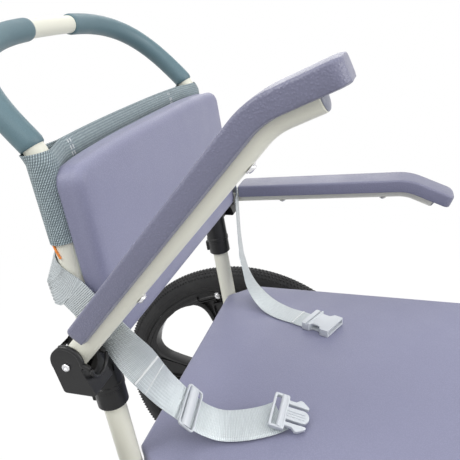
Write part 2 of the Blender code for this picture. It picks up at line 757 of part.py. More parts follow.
def build_arm(side, sign, angle):
    """An arm in its own frame: the pivot at the origin, its length along -Y."""
    pivot = bpy.data.objects.new(f"arm_pivot_{side}", None)
    chair.objects.link(pivot)
    pivot.location = on_post(sign * ARM_X, PIVOT_ALONG, PIVOT_FORWARD)
    pivot.rotation_euler = (-angle, 0.0, 0.0)
    path = [(0.0, -length, height) for length, height, _ in arm_line(-ARM_REAR, 0.0)]
    arm = tube(f"arm_tube_{side}", path, TUBE, TUBE_WALL, cream, parent=pivot)
    cut(arm, bar("pivot_hole", (-TUBE, 0.0, 0.0), (TUBE, 0.0, 0.0), bore(PIVOT_BOLT / 2, FASTENER_SIDES),
                 FASTENER_SIDES), pivot)
    pad = build_arm_pad(side, pivot)
    for number, place in enumerate(ARM_SCREWS):
        hole = bore(SCREW_SHANK / 2, FASTENER_SIDES)
        deep = TUBE / 2 + SCREW_GRIP
        for thing in (arm, pad):
            drill = bar("screw_hole", (0.0, -place, -TUBE), (0.0, -place, deep), hole, FASTENER_SIDES)
            cut(thing, drill, pivot)
        head_top = -TUBE / 2 - GAP
        screw = bar(f"arm_screw_{side}_{number + 1}", (0.0, -place, head_top - SCREW_HEAD_HEIGHT),
                    (0.0, -place, head_top), SCREW_HEAD / 3, FASTENER_SIDES, SCREW_HEAD / 2)
        shank = bar("shank", (0.0, -place, head_top - SCREW_HEAD_HEIGHT / 2), (0.0, -place, deep - GAP),
                    SCREW_SHANK / 2, FASTENER_SIDES)
        join(screw, shank, pivot)
        keep(screw, steel, pivot)
    build_arm_plug(side, pivot)


def build_arm_pad(side, pivot):
    """Foam pad lofted along the arm, with a groove for the tube and rounded ends."""
    half = ARM_PAD_WIDTH / 2
    round_edge = ARM_PAD_HEIGHT / 3
    groove = TUBE / 2 / math.cos(STEP / 2) + GAP
    section = circle_points((0.0, 0.0), groove, math.pi, 0.0, 6)
    section += [(half - round_edge / 3, 0.0), (half, round_edge / 3)]
    section += circle_points((half - round_edge, ARM_PAD_HEIGHT - round_edge), round_edge, 0.0, math.pi / 2, 3)
    section += [(-x, y) for x, y in reversed(section[7:])]
    stations = arm_line(ARM_PAD_START, ARM_PAD_OVERHANG)
    first = stations[0]
    last = stations[-1]
    straight = ARM_FRONT + ARM_PAD_OVERHANG
    rounding = ARM_PAD_WIDTH / 4
    rows = []
    for share, width in ((0.0, 0.80), (0.3, 0.94), (1.0, 1.0)):
        rows.append((first[0] + rounding / 2 * share, 0.0, 0.0, width))
    rows += [(length, height, droop, 1.0) for length, height, droop in stations[1:-1]]
    for share, width in ((1.0, 1.0), (0.5, 0.95), (0.2, 0.85), (0.0, 0.70)):
        back = rounding * share
        rows.append((last[0] - back * math.cos(last[2]), last[1] + back * math.sin(last[2]), last[2], width))
    bm = bmesh.new()
    rings = []
    for length, height, droop, width in rows:
        ring = []
        for x, up in section:
            wide = x * width if abs(x) > groove else x
            y = -(length + up * math.sin(droop))
            ring.append(bm.verts.new((wide, y, height + up * math.cos(droop))))
        rings.append(ring)
    count = len(section)
    for ring, following in zip(rings, rings[1:]):
        for number in range(count):
            after = (number + 1) % count
            bm.faces.new((ring[number], ring[after], following[after], following[number]))
    bm.faces.new(reversed(rings[0]))
    bm.faces.new(rings[-1])
    bmesh.ops.recalc_face_normals(bm, faces=bm.faces)
    return keep(from_bmesh(f"arm_pad_{side}", bm), lavender, pivot)


def build_arm_plug(side, pivot):
    """Plug in the front end of the arm tube."""
    length, height, droop = arm_line(0.0, 0.0)[-1]
    end = Vector((0.0, -length, height))
    ahead = Vector((0.0, -math.cos(droop), -math.sin(droop)))
    stem = (TUBE / 2 - TUBE_WALL) * math.cos(STEP / 2) - GAP
    plug = bar(f"arm_plug_{side}", end + ahead * GAP, end + ahead * (GAP + PLUG_FLANGE), TUBE / 2, TUBE_SIDES,
               TUBE / 2 - PLUG_FLANGE / 2)
    join(plug, bar("plug_stem", end - ahead * PLUG_LENGTH, end + ahead * PLUG_FLANGE / 2, stem * 0.95), pivot)
    keep(plug, grey_plastic, pivot)


def build_arm_bracket(side, sign):
    """Bracket on the post: a sleeve, two cheeks, a stop under the lowered arm and the pivot bolt."""
    pivot = on_post(sign * ARM_X, PIVOT_ALONG, PIVOT_FORWARD)
    frame = side_frame(sign * ARM_X)
    foot = [(pivot.y - CHEEK_FRONT, pivot.z - CHEEK_DROP), (pivot.y + CHEEK_REAR, pivot.z - CHEEK_DROP)]
    middle = (pivot.y, pivot.z + CHEEK_RISE)
    crown = circle_points(middle, CHEEK_RADIUS, math.radians(-25), math.radians(205), 12)
    bracket = prism(f"arm_bracket_{side}", [foot + crown], 2 * CHEEK_OUTSIDE, frame)
    sleeve_radius = TUBE / 2 + SLEEVE_WALL
    join(bracket, bar("sleeve", on_post(sign * POST_X, SLEEVE_START),
                      on_post(sign * POST_X, SLEEVE_START + SLEEVE_LENGTH), sleeve_radius))
    web_low = (sign * POST_X, pivot.y - CHEEK_FRONT / 2, pivot.z - CHEEK_DROP)
    web_high = (sign * (ARM_X - SLOT_HALF - CHEEK / 2), pivot.y + CHEEK_REAR, pivot.z - CHEEK_DROP / 3)
    low = [min(a, b) for a, b in zip(web_low, web_high)]
    high = [max(a, b) for a, b in zip(web_low, web_high)]
    join(bracket, block("web", low, high))
    cut(bracket, bar("post_hole", on_post(sign * POST_X, -TUBE), on_post(sign * POST_X, 2 * SLEEVE_LENGTH),
                     bore(TUBE / 2)))
    sweep_radius = math.hypot(ARM_REAR, TUBE / 2) + ARM_SWEEP
    reach = 3 * CHEEK_RADIUS
    side_angle = math.asin(SLOT_HALF / sweep_radius)
    start = ARM_UP + side_angle
    end = 2 * math.pi + ARM_DOWN - side_angle
    slot = circle_points((0.0, 0.0), sweep_radius / math.cos(math.pi / 20), start, end, 12)
    slot.append((reach * math.cos(ARM_DOWN) + SLOT_HALF * math.sin(ARM_DOWN),
                 reach * math.sin(ARM_DOWN) - SLOT_HALF * math.cos(ARM_DOWN)))
    slot.append((reach, reach))
    slot.append((reach * math.cos(ARM_UP) - SLOT_HALF * math.sin(ARM_UP),
                 reach * math.sin(ARM_UP) + SLOT_HALF * math.cos(ARM_UP)))
    outline = [(pivot.y - ahead, pivot.z + up) for ahead, up in slot]
    cut(bracket, prism("arm_slot", [outline], 2 * SLOT_HALF, frame))
    outer = ARM_X + CHEEK_OUTSIDE + GAP
    inner = ARM_X - CHEEK_OUTSIDE
    hole = bar("bolt_hole", (sign * (inner - CHEEK), pivot.y, pivot.z),
               (sign * (outer + CHEEK), pivot.y, pivot.z), bore(PIVOT_BOLT / 2, FASTENER_SIDES), FASTENER_SIDES)
    cut(bracket, hole)
    keep(bracket, black)
    bolt = bar(f"arm_bolt_{side}", (sign * outer, pivot.y, pivot.z),
               (sign * (outer + PIVOT_HEAD_HEIGHT), pivot.y, pivot.z), PIVOT_HEAD / 2, FASTENER_SIDES,
               PIVOT_HEAD / 2 - PIVOT_HEAD_HEIGHT / 4)
    shank = bar("bolt_shank", (sign * inner, pivot.y, pivot.z),
                (sign * (outer + PIVOT_HEAD_HEIGHT / 2), pivot.y, pivot.z), PIVOT_BOLT / 2, FASTENER_SIDES)
    join(bolt, shank)
    keep(bolt, steel)


# The wheels

def window_outlines():
    """Outlines of the openings between the spokes."""
    outlines = []
    for number in range(SPOKES):
        middle = WINDOW_ANGLE + number * 2 * math.pi / SPOKES
        outer = RIM_RADIUS - WINDOW_RIM
        inner = HUB_RADIUS + WINDOW_HUB
        shape = oval((0.0, 0.0), WINDOW_SPAN, (outer - inner) / 2, WINDOW_SQUARENESS, 16)
        outline = []
        for turn, out in shape:
            radius = (outer + inner) / 2 + out
            outline.append((-math.cos(middle + turn) * radius, math.sin(middle + turn) * radius))
        outlines.append(outline)
    return outlines


def build_wheel(side, sign):
    """Moulded wheel with five spokes, its tyre, hand rim and axle bolt."""
    frame = wheel_frame(sign, WHEEL_X, AXLE_Y, WHEEL_RADIUS)
    rim = RIM_WIDTH / 2
    web = WEB / 2
    hub = HUB_WIDTH / 2
    inside = RIM_RADIUS - RIM_DEPTH
    hole = bore(AXLE / 2, WHEEL_STEPS)
    profile = [(RIM_RADIUS, rim), (RIM_RADIUS, -rim), (inside, -rim), (inside, -web), (HUB_RADIUS, -web),
               (HUB_RADIUS * 0.8, -hub), (hole, -hub), (hole, hub), (HUB_RADIUS * 0.8, hub), (HUB_RADIUS, web),
               (inside, web), (inside, rim)]
    wheel = turned(f"wheel_{side}", profile, WHEEL_STEPS, frame)
    plane = Matrix.Translation((0.0, AXLE_Y, WHEEL_RADIUS)) @ side_frame(sign * WHEEL_X)
    cut(wheel, prism("windows", window_outlines(), 3 * HUB_WIDTH, plane))
    keep(wheel, black)

    seat = RIM_RADIUS + GAP
    half = TYRE_WIDTH / 2
    crown = WHEEL_RADIUS - seat
    flank = [(0.0, 0.85), (0.35, 1.0), (0.72, 0.80), (0.93, 0.39), (1.0, 0.0)]
    profile = [(seat + up * crown, out * half) for up, out in flank]
    profile += [(radius, -out) for radius, out in reversed(profile[:-1])]
    keep(turned(f"tyre_{side}", profile, WHEEL_STEPS, frame), rubber)
    build_hand_rim(side, sign, frame)

    head = WHEEL_X + hub + GAP
    plate = POST_X - AXLE_PLATE / 2 - GAP
    radius = AXLE / 2
    wide = AXLE_HEAD / 2
    profile = [(0.0, head + AXLE_HEAD_HEIGHT), (wide, head + AXLE_HEAD_HEIGHT), (wide, head), (radius, head),
               (radius, plate), (wide, plate), (wide, plate - AXLE_HEAD_HEIGHT), (0.0, plate - AXLE_HEAD_HEIGHT)]
    middle = wheel_frame(sign, 0.0, AXLE_Y, WHEEL_RADIUS)
    keep(turned(f"axle_{side}", profile, SMALL_SIDES, middle, closed=False), steel)


def build_hand_rim(side, sign, frame):
    """Push ring outside the wheel, on one standoff for each spoke."""
    middle = (RIM_RADIUS - HAND_RIM_INSET, HAND_RIM_OFFSET)
    ring = circle_points(middle, HAND_RIM_TUBE / 2, math.pi, -math.pi, 6)[:-1]
    rim = turned(f"hand_rim_{side}", ring, WHEEL_STEPS, frame)
    foot = RIM_WIDTH / 2 + GAP
    legs = bmesh.new()
    for number in range(SPOKES):
        angle = WINDOW_ANGLE + (number + 0.5) * 2 * math.pi / SPOKES
        x = math.sin(angle) * (RIM_RADIUS - STANDOFF_INSET) * -1
        y = math.cos(angle) * (RIM_RADIUS - STANDOFF_INSET) * -sign
        place = Matrix.Translation((x * sign, y * sign, (foot + HAND_RIM_OFFSET) / 2))
        bmesh.ops.create_cone(legs, cap_ends=True, segments=FASTENER_SIDES - 2, radius1=STANDOFF / 2,
                              radius2=STANDOFF / 2, depth=HAND_RIM_OFFSET - foot, matrix=place)
    join(rim, from_bmesh("standoffs", legs, frame))
    keep(rim, steel)


def build_caster(side, sign):
    """Swivelling fork with its stem in the front leg, and its wheel."""
    x = sign * POST_X
    axle_y = LEG_Y + CASTER_TRAIL
    crown_low = 2 * CASTER_RADIUS + FORK_CROWN_GAP
    crown_high = crown_low + FORK_CROWN
    inside = CASTER_WIDTH / 2 + FORK_SIDE_GAP
    outside = inside + FORK_SIDE
    front = LEG_Y - COLLAR / 2
    rear = axle_y + FORK_EAR
    fork = block(f"caster_fork_{side}", (x - outside, front, crown_low), (x + outside, rear, crown_high))
    ear = circle_points((axle_y, CASTER_RADIUS), FORK_EAR, math.radians(-200), math.radians(20), 10)
    cheek = ear + [(rear, crown_high), (front, crown_high), (front, crown_low)]
    for edge in (-1, 1):
        middle = x + edge * (inside + outside) / 2
        join(fork, prism("fork_cheek", [cheek], FORK_SIDE, side_frame(middle)))
    join(fork, bar("fork_axle", (x - outside - FORK_SIDE, axle_y, CASTER_RADIUS),
                   (x + outside + FORK_SIDE, axle_y, CASTER_RADIUS), CASTER_AXLE / 2, SMALL_SIDES))
    collar_top = LEG_BOTTOM - GAP
    join(fork, bar("collar", (x, LEG_Y, crown_low + FORK_CROWN / 2), (x, LEG_Y, collar_top), COLLAR / 2))
    join(fork, bar("stem", (x, LEG_Y, crown_high), (x, LEG_Y, LEG_BOTTOM + STEM_LENGTH), STEM / 2))
    keep(fork, steel)
    half = CASTER_WIDTH / 2
    hole = bore(CASTER_AXLE / 2, CASTER_STEPS)
    tread = CASTER_RADIUS
    edge = half * 0.5
    hub = inside - GAP
    profile = [(tread - edge, half), (tread, edge), (tread, -edge), (tread - edge, -half), (tread - 1.6 * half, -edge),
               (CASTER_AXLE * 2, -edge), (CASTER_AXLE * 1.5, -hub), (hole, -hub), (hole, hub), (CASTER_AXLE * 1.5, hub),
               (CASTER_AXLE * 2, edge), (tread - 1.6 * half, edge)]
    middle = wheel_frame(sign, POST_X, axle_y, CASTER_RADIUS)
    keep(turned(f"caster_wheel_{side}", profile, CASTER_STEPS, middle), rubber)


# Footrests and brakes

def build_footrest(side, sign):
    """Hanger tube from the front leg and the footplate that flips up on its lower run."""
    x = sign * POST_X
    low_corner = LEG_Y - HANGER_REACH - HANGER_SLOPE
    front = FRONT_Y + HANGER_END
    corners = [(x, LEG_Y - TUBE / 2 - GAP, HANGER_HEIGHT), (x, LEG_Y - HANGER_REACH, HANGER_HEIGHT),
               (x, low_corner, FOOTPLATE_HEIGHT), (x, front, FOOTPLATE_HEIGHT)]
    tube(f"footrest_hanger_{side}", arc_path(corners, HANGER_BEND, 3), LIGHT_TUBE, TUBE_WALL, cream, SMALL_SIDES)
    sleeve_in = bore(LIGHT_TUBE / 2)
    sleeve_out = LIGHT_TUBE / 2 + FOOT_SLEEVE_WALL
    sleeve_rear = low_corner - HANGER_BEND
    top = FOOTPLATE_HEIGHT - FOOTPLATE_DROP
    depth = FOOTPLATE_DEPTH / 2
    reach = FOOTPLATE_REACH / 2
    outline = oval((sign * (POST_X - reach), FRONT_Y + depth), reach, depth, 10, 20)
    middle = Matrix.Translation((0.0, 0.0, top - FOOTPLATE / 2))
    plate = prism(f"footplate_{side}", [outline], FOOTPLATE, middle)
    sleeve = bar("foot_sleeve", (x, sleeve_rear, FOOTPLATE_HEIGHT), (x, front, FOOTPLATE_HEIGHT), sleeve_out)
    join(plate, sleeve)
    inner = POST_X - FOOTPLATE_REACH + FOOT_TREAD_MARGIN
    outer = POST_X - sleeve_out - FOOT_TREAD_MARGIN
    half = (outer - inner) / 2
    tread = oval((sign * (inner + half), FRONT_Y + depth), half, depth - FOOT_TREAD_MARGIN, 10, 16)
    join(plate, prism("tread", [tread], 2 * FOOT_TREAD, Matrix.Translation((0.0, 0.0, top))))
    cut(plate, bar("foot_bore", (x, sleeve_rear + TUBE, FOOTPLATE_HEIGHT),
                   (x, FRONT_Y - TUBE, FOOTPLATE_HEIGHT), sleeve_in))
    keep(plate, black)


def build_brake(side, sign):
    """Bracket on the seat rail with a pin, and the lever whose shoe meets the tyre."""
    pivot_y = AXLE_Y - BRAKE_AHEAD
    pivot_z = WHEEL_RADIUS + BRAKE_ABOVE
    rail_face = POST_X + TUBE / 2 + GAP
    plate_face = rail_face + BRAKE_PLATE
    lever_face = max(plate_face + BRAKE_STANDOFF, SEAT_WIDTH / 2 + BRAKE_SEAT_CLEARANCE)
    rod = BRAKE_ROD / 2
    lever_x = lever_face + GAP + rod
    half = BRAKE_PLATE_WIDTH / 2
    top = RAIL_HEIGHT + TUBE / 4
    low = pivot_z - half
    corners = ((sign * rail_face, pivot_y - half, low), (sign * plate_face, pivot_y + half, top))
    bracket = block(f"brake_bracket_{side}", [min(a, b) for a, b in zip(*corners)],
                    [max(a, b) for a, b in zip(*corners)])
    pin_end = lever_x + rod + GAP

    def cross(name, inner, outer, radius):
        return bar(name, (sign * inner, pivot_y, pivot_z), (sign * outer, pivot_y, pivot_z), radius)

    join(bracket, cross("standoff", rail_face + BRAKE_PLATE / 2, lever_face, BRAKE_PIN))
    join(bracket, cross("pin", lever_face - BRAKE_PLATE / 2, pin_end + BRAKE_PLATE / 4, BRAKE_PIN / 2))
    join(bracket, cross("pin_head", pin_end, pin_end + BRAKE_PLATE / 2, BRAKE_PIN * 0.9))
    keep(bracket, steel)

    span = math.hypot(BRAKE_AHEAD, BRAKE_ABOVE)
    shoe_arm = span - WHEEL_RADIUS - rod - GAP
    angle = -math.atan2(BRAKE_ABOVE, BRAKE_AHEAD) - BRAKE_OPEN
    shoe = (pivot_y + shoe_arm * math.cos(angle), pivot_z + shoe_arm * math.sin(angle))
    shoe_x = WHEEL_X + BRAKE_SHOE_REACH
    handle = (pivot_y - BRAKE_HANDLE * math.sin(BRAKE_HANDLE_LEAN),
              pivot_z + BRAKE_HANDLE * math.cos(BRAKE_HANDLE_LEAN))
    corners = [(sign * shoe_x, *shoe), (sign * lever_x, *shoe), (sign * lever_x, pivot_y, pivot_z),
               (sign * lever_x, *handle)]
    lever = sweep(f"brake_lever_{side}", arc_path(corners, BRAKE_BEND, 3), BRAKE_ROD, SMALL_SIDES)
    join(lever, cross("lever_hub", lever_x - rod, lever_x + rod, BRAKE_HUB / 2))
    cut(lever, cross("lever_bore", lever_x - BRAKE_HUB, lever_x + BRAKE_HUB, bore(BRAKE_PIN / 2)))
    keep(lever, black)


# The belt

def belt_slope(degrees):
    """How steeply the belt's loop goes down, this far round the post from where it leaves it."""
    return BELT_SLOPE * max(0.0, 1.0 - (degrees / BELT_LEVEL) ** 1.5)


def belt_loop(sign):
    """Points and width directions of the belt's turn round a post, ending outside it on a slope."""
    up = (on_post(0.0, 1.0) - on_post(0.0, 0.0)).normalized()
    forward = (on_post(0.0, 0.0, 1.0) - on_post(0.0, 0.0)).normalized()
    outwards = Vector((sign, 0.0, 0.0))
    step = 20
    along = BELT_ALONG
    points = []
    widths = []
    for degrees in range(300, -1, -step):
        angle = math.radians(degrees)
        slope = belt_slope(degrees)
        around = outwards * math.sin(angle) + forward * math.cos(angle)
        beside = outwards * math.cos(angle) - forward * math.sin(angle)
        radius = BELT_RADIUS + BELT_SLACK * slope / BELT_SLOPE
        along -= radius * math.radians(step) * math.tan(belt_slope(degrees + step / 2))
        points.append(on_post(sign * POST_X, along) + beside * radius)
        widths.append(up * math.cos(slope) + around * math.sin(slope))
    return points, widths


def belt_run(sign, end, stations):
    """A belt's loop and its run down to its end.

    A station has shares of the way from the end to the loop (across, back, up) and the width's direction.
    """
    points, widths = belt_loop(sign)
    span = points[-1] - end
    for across, back, height, width in stations:
        points.append(end + Vector((span.x * across, span.y * back, span.z * height)))
        widths.append(Vector(width))
    return points, widths


def build_belts():
    """Two belt halves: a loop on each post, a free run down to the seat and a buckle half at the end."""
    half = SEAT_WIDTH / 2
    rear = post_y(SEAT_HEIGHT) - SEAT_REAR
    cloth = SEAT_HEIGHT + GAP + BELT_CLOTH / 2
    tilted = cloth + math.sin(BELT_TILT) * BELT / 2 + BELT_CLOTH
    end = Vector((-0.507 * half, rear - 0.3577 * SEAT_DEPTH, tilted))
    stations = ((1.0, 0.937, 0.938, (0.0, -0.68, 0.73)), (1.0, 0.866, 0.865, (0.0, -0.69, 0.72)),
                (1.0, 0.791, 0.785, (0.05, -0.70, 0.71)), (0.962, 0.723, 0.677, (0.25, -0.60, 0.75)),
                (0.846, 0.665, 0.527, (0.60, -0.30, 0.72)), (0.660, 0.624, 0.351, (0.78, -0.15, 0.60)),
                (0.518, 0.572, 0.219, (0.87, -0.03, 0.50)), (0.447, 0.519, 0.134, (0.90, 0.07, 0.44)),
                (0.389, 0.442, 0.057, (0.90, 0.15, 0.41)), (0.329, 0.338, 0.009, (0.884, 0.232, 0.405)),
                (0.245, 0.207, 0.0, (0.86, 0.32, 0.40)), (0.119, 0.0775, 0.0, (0.80, 0.45, 0.38)),
                (0.0, 0.0, 0.0, (0.78, 0.52, 0.36)))
    points, widths = belt_run(-1, end, stations)
    strap("belt_right", points, widths, 2 * len(points) - 2, webbing)
    ahead = Vector((0.44, -0.85, -0.20))
    place = end - ahead.normalized() * PLUG_OVERLAP + Vector((0.0, 0.0, PLUG_LIFT))
    build_male_buckle(lying_frame(place, ahead, (-0.898, -0.33, -0.29), 0.0))
    before, after = points[-7:-5]
    lift = (SLIDER_HEIGHT + BELT_CLOTH) / 2 + SLIDER_LIFT
    build_slider(lying_frame(before.lerp(after, 0.75), after - before, -widths[-6], lift))

    end = Vector((0.516 * half, rear - 0.3526 * SEAT_DEPTH, cloth))
    stations = ((1.0, 0.9315, 0.949, (0.0, -0.62, 0.78)), (0.997, 0.854, 0.895, (-0.05, -0.60, 0.80)),
                (0.987, 0.788, 0.862, (-0.35, -0.60, 0.70)), (0.950, 0.745, 0.831, (-0.75, -0.45, 0.45)),
                (0.935, 0.728, 0.777, (-0.95, -0.30, 0.05)), (0.935, 0.727, 0.735, (-0.95, -0.30, 0.0)),
                (0.935, 0.726, 0.599, (-0.95, -0.30, 0.0)), (0.905, 0.719, 0.470, (-0.95, -0.30, 0.0)),
                (0.847, 0.702, 0.366, (-0.95, -0.25, 0.05)), (0.789, 0.684, 0.301, (-0.94, -0.15, 0.20)),
                (0.701, 0.643, 0.218, (-0.92, 0.0, 0.35)), (0.577, 0.578, 0.128, (-0.90, 0.15, 0.25)),
                (0.459, 0.495, 0.064, (-0.90, 0.28, 0.15)), (0.355, 0.410, 0.023, (-0.90, 0.36, 0.06)),
                (0.264, 0.326, 0.004, (-0.90, 0.40, 0.0)), (0.157, 0.216, 0.0, (-0.93, 0.37, 0.0)),
                (0.080, 0.102, 0.0, (-0.95, 0.33, 0.0)), (0.0, 0.0, 0.0, (-0.93, 0.37, 0.0)))
    points, widths = belt_run(1, end, stations)
    ahead = strap("belt_left", points, widths, 2 * len(points) - 2, webbing)
    build_female_buckle(lying_frame(end, ahead, (ahead.y, -ahead.x, 0.0), (BUCKLE_HEIGHT - BELT_CLOTH) / 2))


def lying_frame(place, ahead, across, lift):
    """A frame for a piece on the belt: Y points ahead, X is close to across and Z is lifted off the belt."""
    along = Vector(ahead).normalized()
    up = Vector(across).cross(along).normalized()
    side = along.cross(up)
    middle = place + up * lift
    return Matrix(((side.x, along.x, up.x, middle.x), (side.y, along.y, up.y, middle.y),
                   (side.z, along.z, up.z, middle.z), (0, 0, 0, 1)))


def build_female_buckle(frame):
    """Socket half: a bar for the belt, and a hollow body with a wide mouth and open sides."""
    half = BUCKLE_WIDTH / 2
    outline = oval((0.0, GAP + BUCKLE_LENGTH / 2), half, BUCKLE_LENGTH / 2, 7, 16)
    body = prism("buckle_socket", [outline], BUCKLE_HEIGHT, frame)
    wall = BUCKLE_HEIGHT / 5
    mouth = block("mouth", (-half + 2 * wall, BUCKLE_LENGTH * 0.3, -BUCKLE_HEIGHT / 2 + wall),
                  (half - 2 * wall, BUCKLE_LENGTH * 1.5, BUCKLE_HEIGHT / 2 - wall))
    mouth.matrix_world = frame
    cut(body, mouth)
    window = block("window", (-2 * half, BUCKLE_LENGTH * 0.42, -BUCKLE_HEIGHT / 2 + wall),
                   (2 * half, BUCKLE_LENGTH * 0.72, BUCKLE_HEIGHT / 2 - wall))
    window.matrix_world = frame
    cut(body, window)
    keep(body, buckle_plastic)


def build_male_buckle(frame):
    """Plug half: a bar for the belt, a middle tongue and two hooked prongs."""
    half = BUCKLE_WIDTH / 2
    bar_end = BUCKLE_LENGTH * 0.42
    tip = BUCKLE_LENGTH
    root = GAP
    prong = half * 0.22
    outline = [(-half, root), (half, root), (half, bar_end * 0.8), (half * 0.8, bar_end),
               (half * 0.8, tip * 0.6),
               (half * 0.95, tip * 0.72), (half * 0.62, tip * 0.96), (half * 0.5, tip * 0.94),
               (half * 0.8 - prong, tip * 0.66), (half * 0.8 - prong, bar_end), (half * 0.28, bar_end),
               (half * 0.28, tip * 0.9), (half * 0.16, tip)]
    outline += [(-x, y) for x, y in reversed(outline[2:])]
    slot = [(-half * 0.84, bar_end * 0.3), (half * 0.84, bar_end * 0.3), (half * 0.84, bar_end * 0.55),
            (-half * 0.84, bar_end * 0.55)]
    keep(prism("buckle_plug", [outline, slot], BUCKLE_PLATE, frame), buckle_plastic)


def build_slider(frame):
    """Three-bar slider lying on the belt."""
    across = SLIDER_WIDTH / 2
    along = SLIDER_LENGTH / 2
    outer = oval((0.0, 0.0), across, along, 8, 16)
    slots = []
    for edge in (-1, 1):
        slots.append(oval((0.0, edge * along * 0.45), BELT / 2 + GAP, along * 0.2, 8, 8))
    keep(prism("belt_slider", [outer] + slots, SLIDER_HEIGHT, frame), buckle_plastic)


build_frame()
build_bow()
build_back()
build_seat()
for chair_side, chair_sign in SIDES:
    build_arm_bracket(chair_side, chair_sign)
    build_arm(chair_side, chair_sign, ARM_DOWN if chair_sign > 0 else ARM_RAISED)
    build_wheel(chair_side, chair_sign)
    build_caster(chair_side, chair_sign)
    build_footrest(chair_side, chair_sign)
    build_brake(chair_side, chair_sign)
build_belts()
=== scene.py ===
import json
from math import acos, asin, copysign, cos, dist, hypot, pi, radians, sin, sqrt, tan

import bmesh
import bpy
from mathutils import Matrix, Vector


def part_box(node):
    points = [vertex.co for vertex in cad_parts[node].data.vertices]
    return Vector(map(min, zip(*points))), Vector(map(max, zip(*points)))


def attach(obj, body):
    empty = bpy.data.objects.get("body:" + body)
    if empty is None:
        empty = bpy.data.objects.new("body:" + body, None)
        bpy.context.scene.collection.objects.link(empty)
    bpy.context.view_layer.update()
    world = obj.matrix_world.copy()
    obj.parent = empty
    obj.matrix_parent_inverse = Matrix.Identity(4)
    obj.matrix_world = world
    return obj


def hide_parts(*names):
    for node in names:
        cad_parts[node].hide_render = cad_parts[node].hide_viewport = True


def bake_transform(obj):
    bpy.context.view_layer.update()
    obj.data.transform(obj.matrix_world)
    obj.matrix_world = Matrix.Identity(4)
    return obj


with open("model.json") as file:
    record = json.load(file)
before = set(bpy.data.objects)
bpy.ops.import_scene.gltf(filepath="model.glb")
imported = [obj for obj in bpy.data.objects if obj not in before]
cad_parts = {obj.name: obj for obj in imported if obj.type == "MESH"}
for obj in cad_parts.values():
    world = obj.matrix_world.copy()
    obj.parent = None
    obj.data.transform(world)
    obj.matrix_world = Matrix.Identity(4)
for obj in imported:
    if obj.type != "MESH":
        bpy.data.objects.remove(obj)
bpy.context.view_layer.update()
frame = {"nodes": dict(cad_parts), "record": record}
nodes = frame["nodes"]
sides = (("left", 1), ("right", -1))
print("frame loaded with", len(nodes), "nodes")


# camera and stage

camera = {
    "place": (-0.6302, -0.0853, 0.9963),
    "azimuth": -72.19,
    "elevation": 22.63,
    "roll": -3.9,
    "focal": 562.61,        # in pixels of the square frame
    "frameSize": 460,
    "sensor": 36.0,
}


def makeCamera():
    azimuth = radians(camera["azimuth"])
    elevation = radians(camera["elevation"])
    roll = radians(camera["roll"])
    back = Vector((sin(azimuth) * cos(elevation), -cos(azimuth) * cos(elevation), sin(elevation)))
    right = (-back).cross(Vector((0, 0, 1))).normalized()
    up = right.cross(-back)
    rolledRight = right * cos(roll) + up * sin(roll)
    rolledUp = up * cos(roll) - right * sin(roll)
    data = bpy.data.cameras.new("photoCamera")
    data.sensor_width = camera["sensor"]
    data.lens = camera["sensor"] * camera["focal"] / camera["frameSize"]
    data.clip_start = 0.01
    thing = bpy.data.objects.new("photoCamera", data)
    turn = Matrix((rolledRight, rolledUp, back)).transposed().to_4x4()
    thing.matrix_world = Matrix.Translation(camera["place"]) @ turn
    bpy.context.scene.collection.objects.link(thing)
    bpy.context.scene.camera = thing


stage = {
    "floorSize": 30.0,
    "floorGlow": 0.90,      # share of the floor's white that ignores shadow
    "floorWhite": 0.11,
    "fade": (0.9, 2.0),     # between these distances from the chair the floor turns plain white
    "floorBounce": 0.6,     # what the floor throws back at the chair
    "sky": (0.32, 0.62),    # light of the horizon and of the top
    "lamps": (              # place, aim, size, watts
        ((-1.6, -0.7, 2.5), (0.0, 0.0, 0.6), 1.2, 14.0),
        ((0.0, -2.4, 1.6), (0.0, 0.0, 0.6), 1.6, 40.0),
        ((0.45, 0.3, 2.9), (0.0, 0.0, 0.5), 1.2, 9.0),
        ((-1.2, 1.4, 2.4), (0.0, 0.1, 0.6), 1.2, 30.0),
        ((2.3, 0.65, 1.5), (0.0, 0.0, 0.5), 1.2, 7.0),
    ),
}


def addNode(tree, kind, *sources, **values):
    # a node with its first inputs joined to the given sockets
    made = tree.nodes.new(kind)
    for key, value in values.items():
        setattr(made, key, value)
    for number, source in enumerate(sources):
        tree.links.new(source, made.inputs[number])
    return made


def fill(node, values):
    for name, value in values.items():
        node.inputs[name].default_value = value


def lightPathWhite(tree, white, lit, output):
    # what the camera, glossy and see-through rays meet is plain white
    path = addNode(tree, "ShaderNodeLightPath").outputs
    ray = path["Is Camera Ray"]
    for other in ("Is Glossy Ray", "Is Transmission Ray"):
        ray = addNode(tree, "ShaderNodeMath", ray, path[other], operation="MAXIMUM").outputs[0]
    mix = addNode(tree, "ShaderNodeMixShader", ray, lit, white)
    tree.links.new(mix.outputs[0], output)


def makeWorld():
    world = bpy.data.worlds.new("studio")
    world.use_nodes = True
    tree = world.node_tree
    lit = tree.nodes["Background"]
    fill(lit, {"Color": (1.0, 1.0, 1.0, 1.0)})
    sphere = addNode(tree, "ShaderNodeTexCoord")
    split = addNode(tree, "ShaderNodeSeparateXYZ", sphere.outputs["Generated"])
    climb = addNode(tree, "ShaderNodeMapRange", split.outputs["Z"])
    fill(climb, {"To Min": stage["sky"][0], "To Max": stage["sky"][1]})
    tree.links.new(climb.outputs["Result"], lit.inputs["Strength"])
    white = addNode(tree, "ShaderNodeBackground")
    fill(white, {"Color": (1.0, 1.0, 1.0, 1.0)})
    lightPathWhite(tree, white.outputs[0], lit.outputs[0], tree.nodes["World Output"].inputs["Surface"])
    bpy.context.scene.world = world


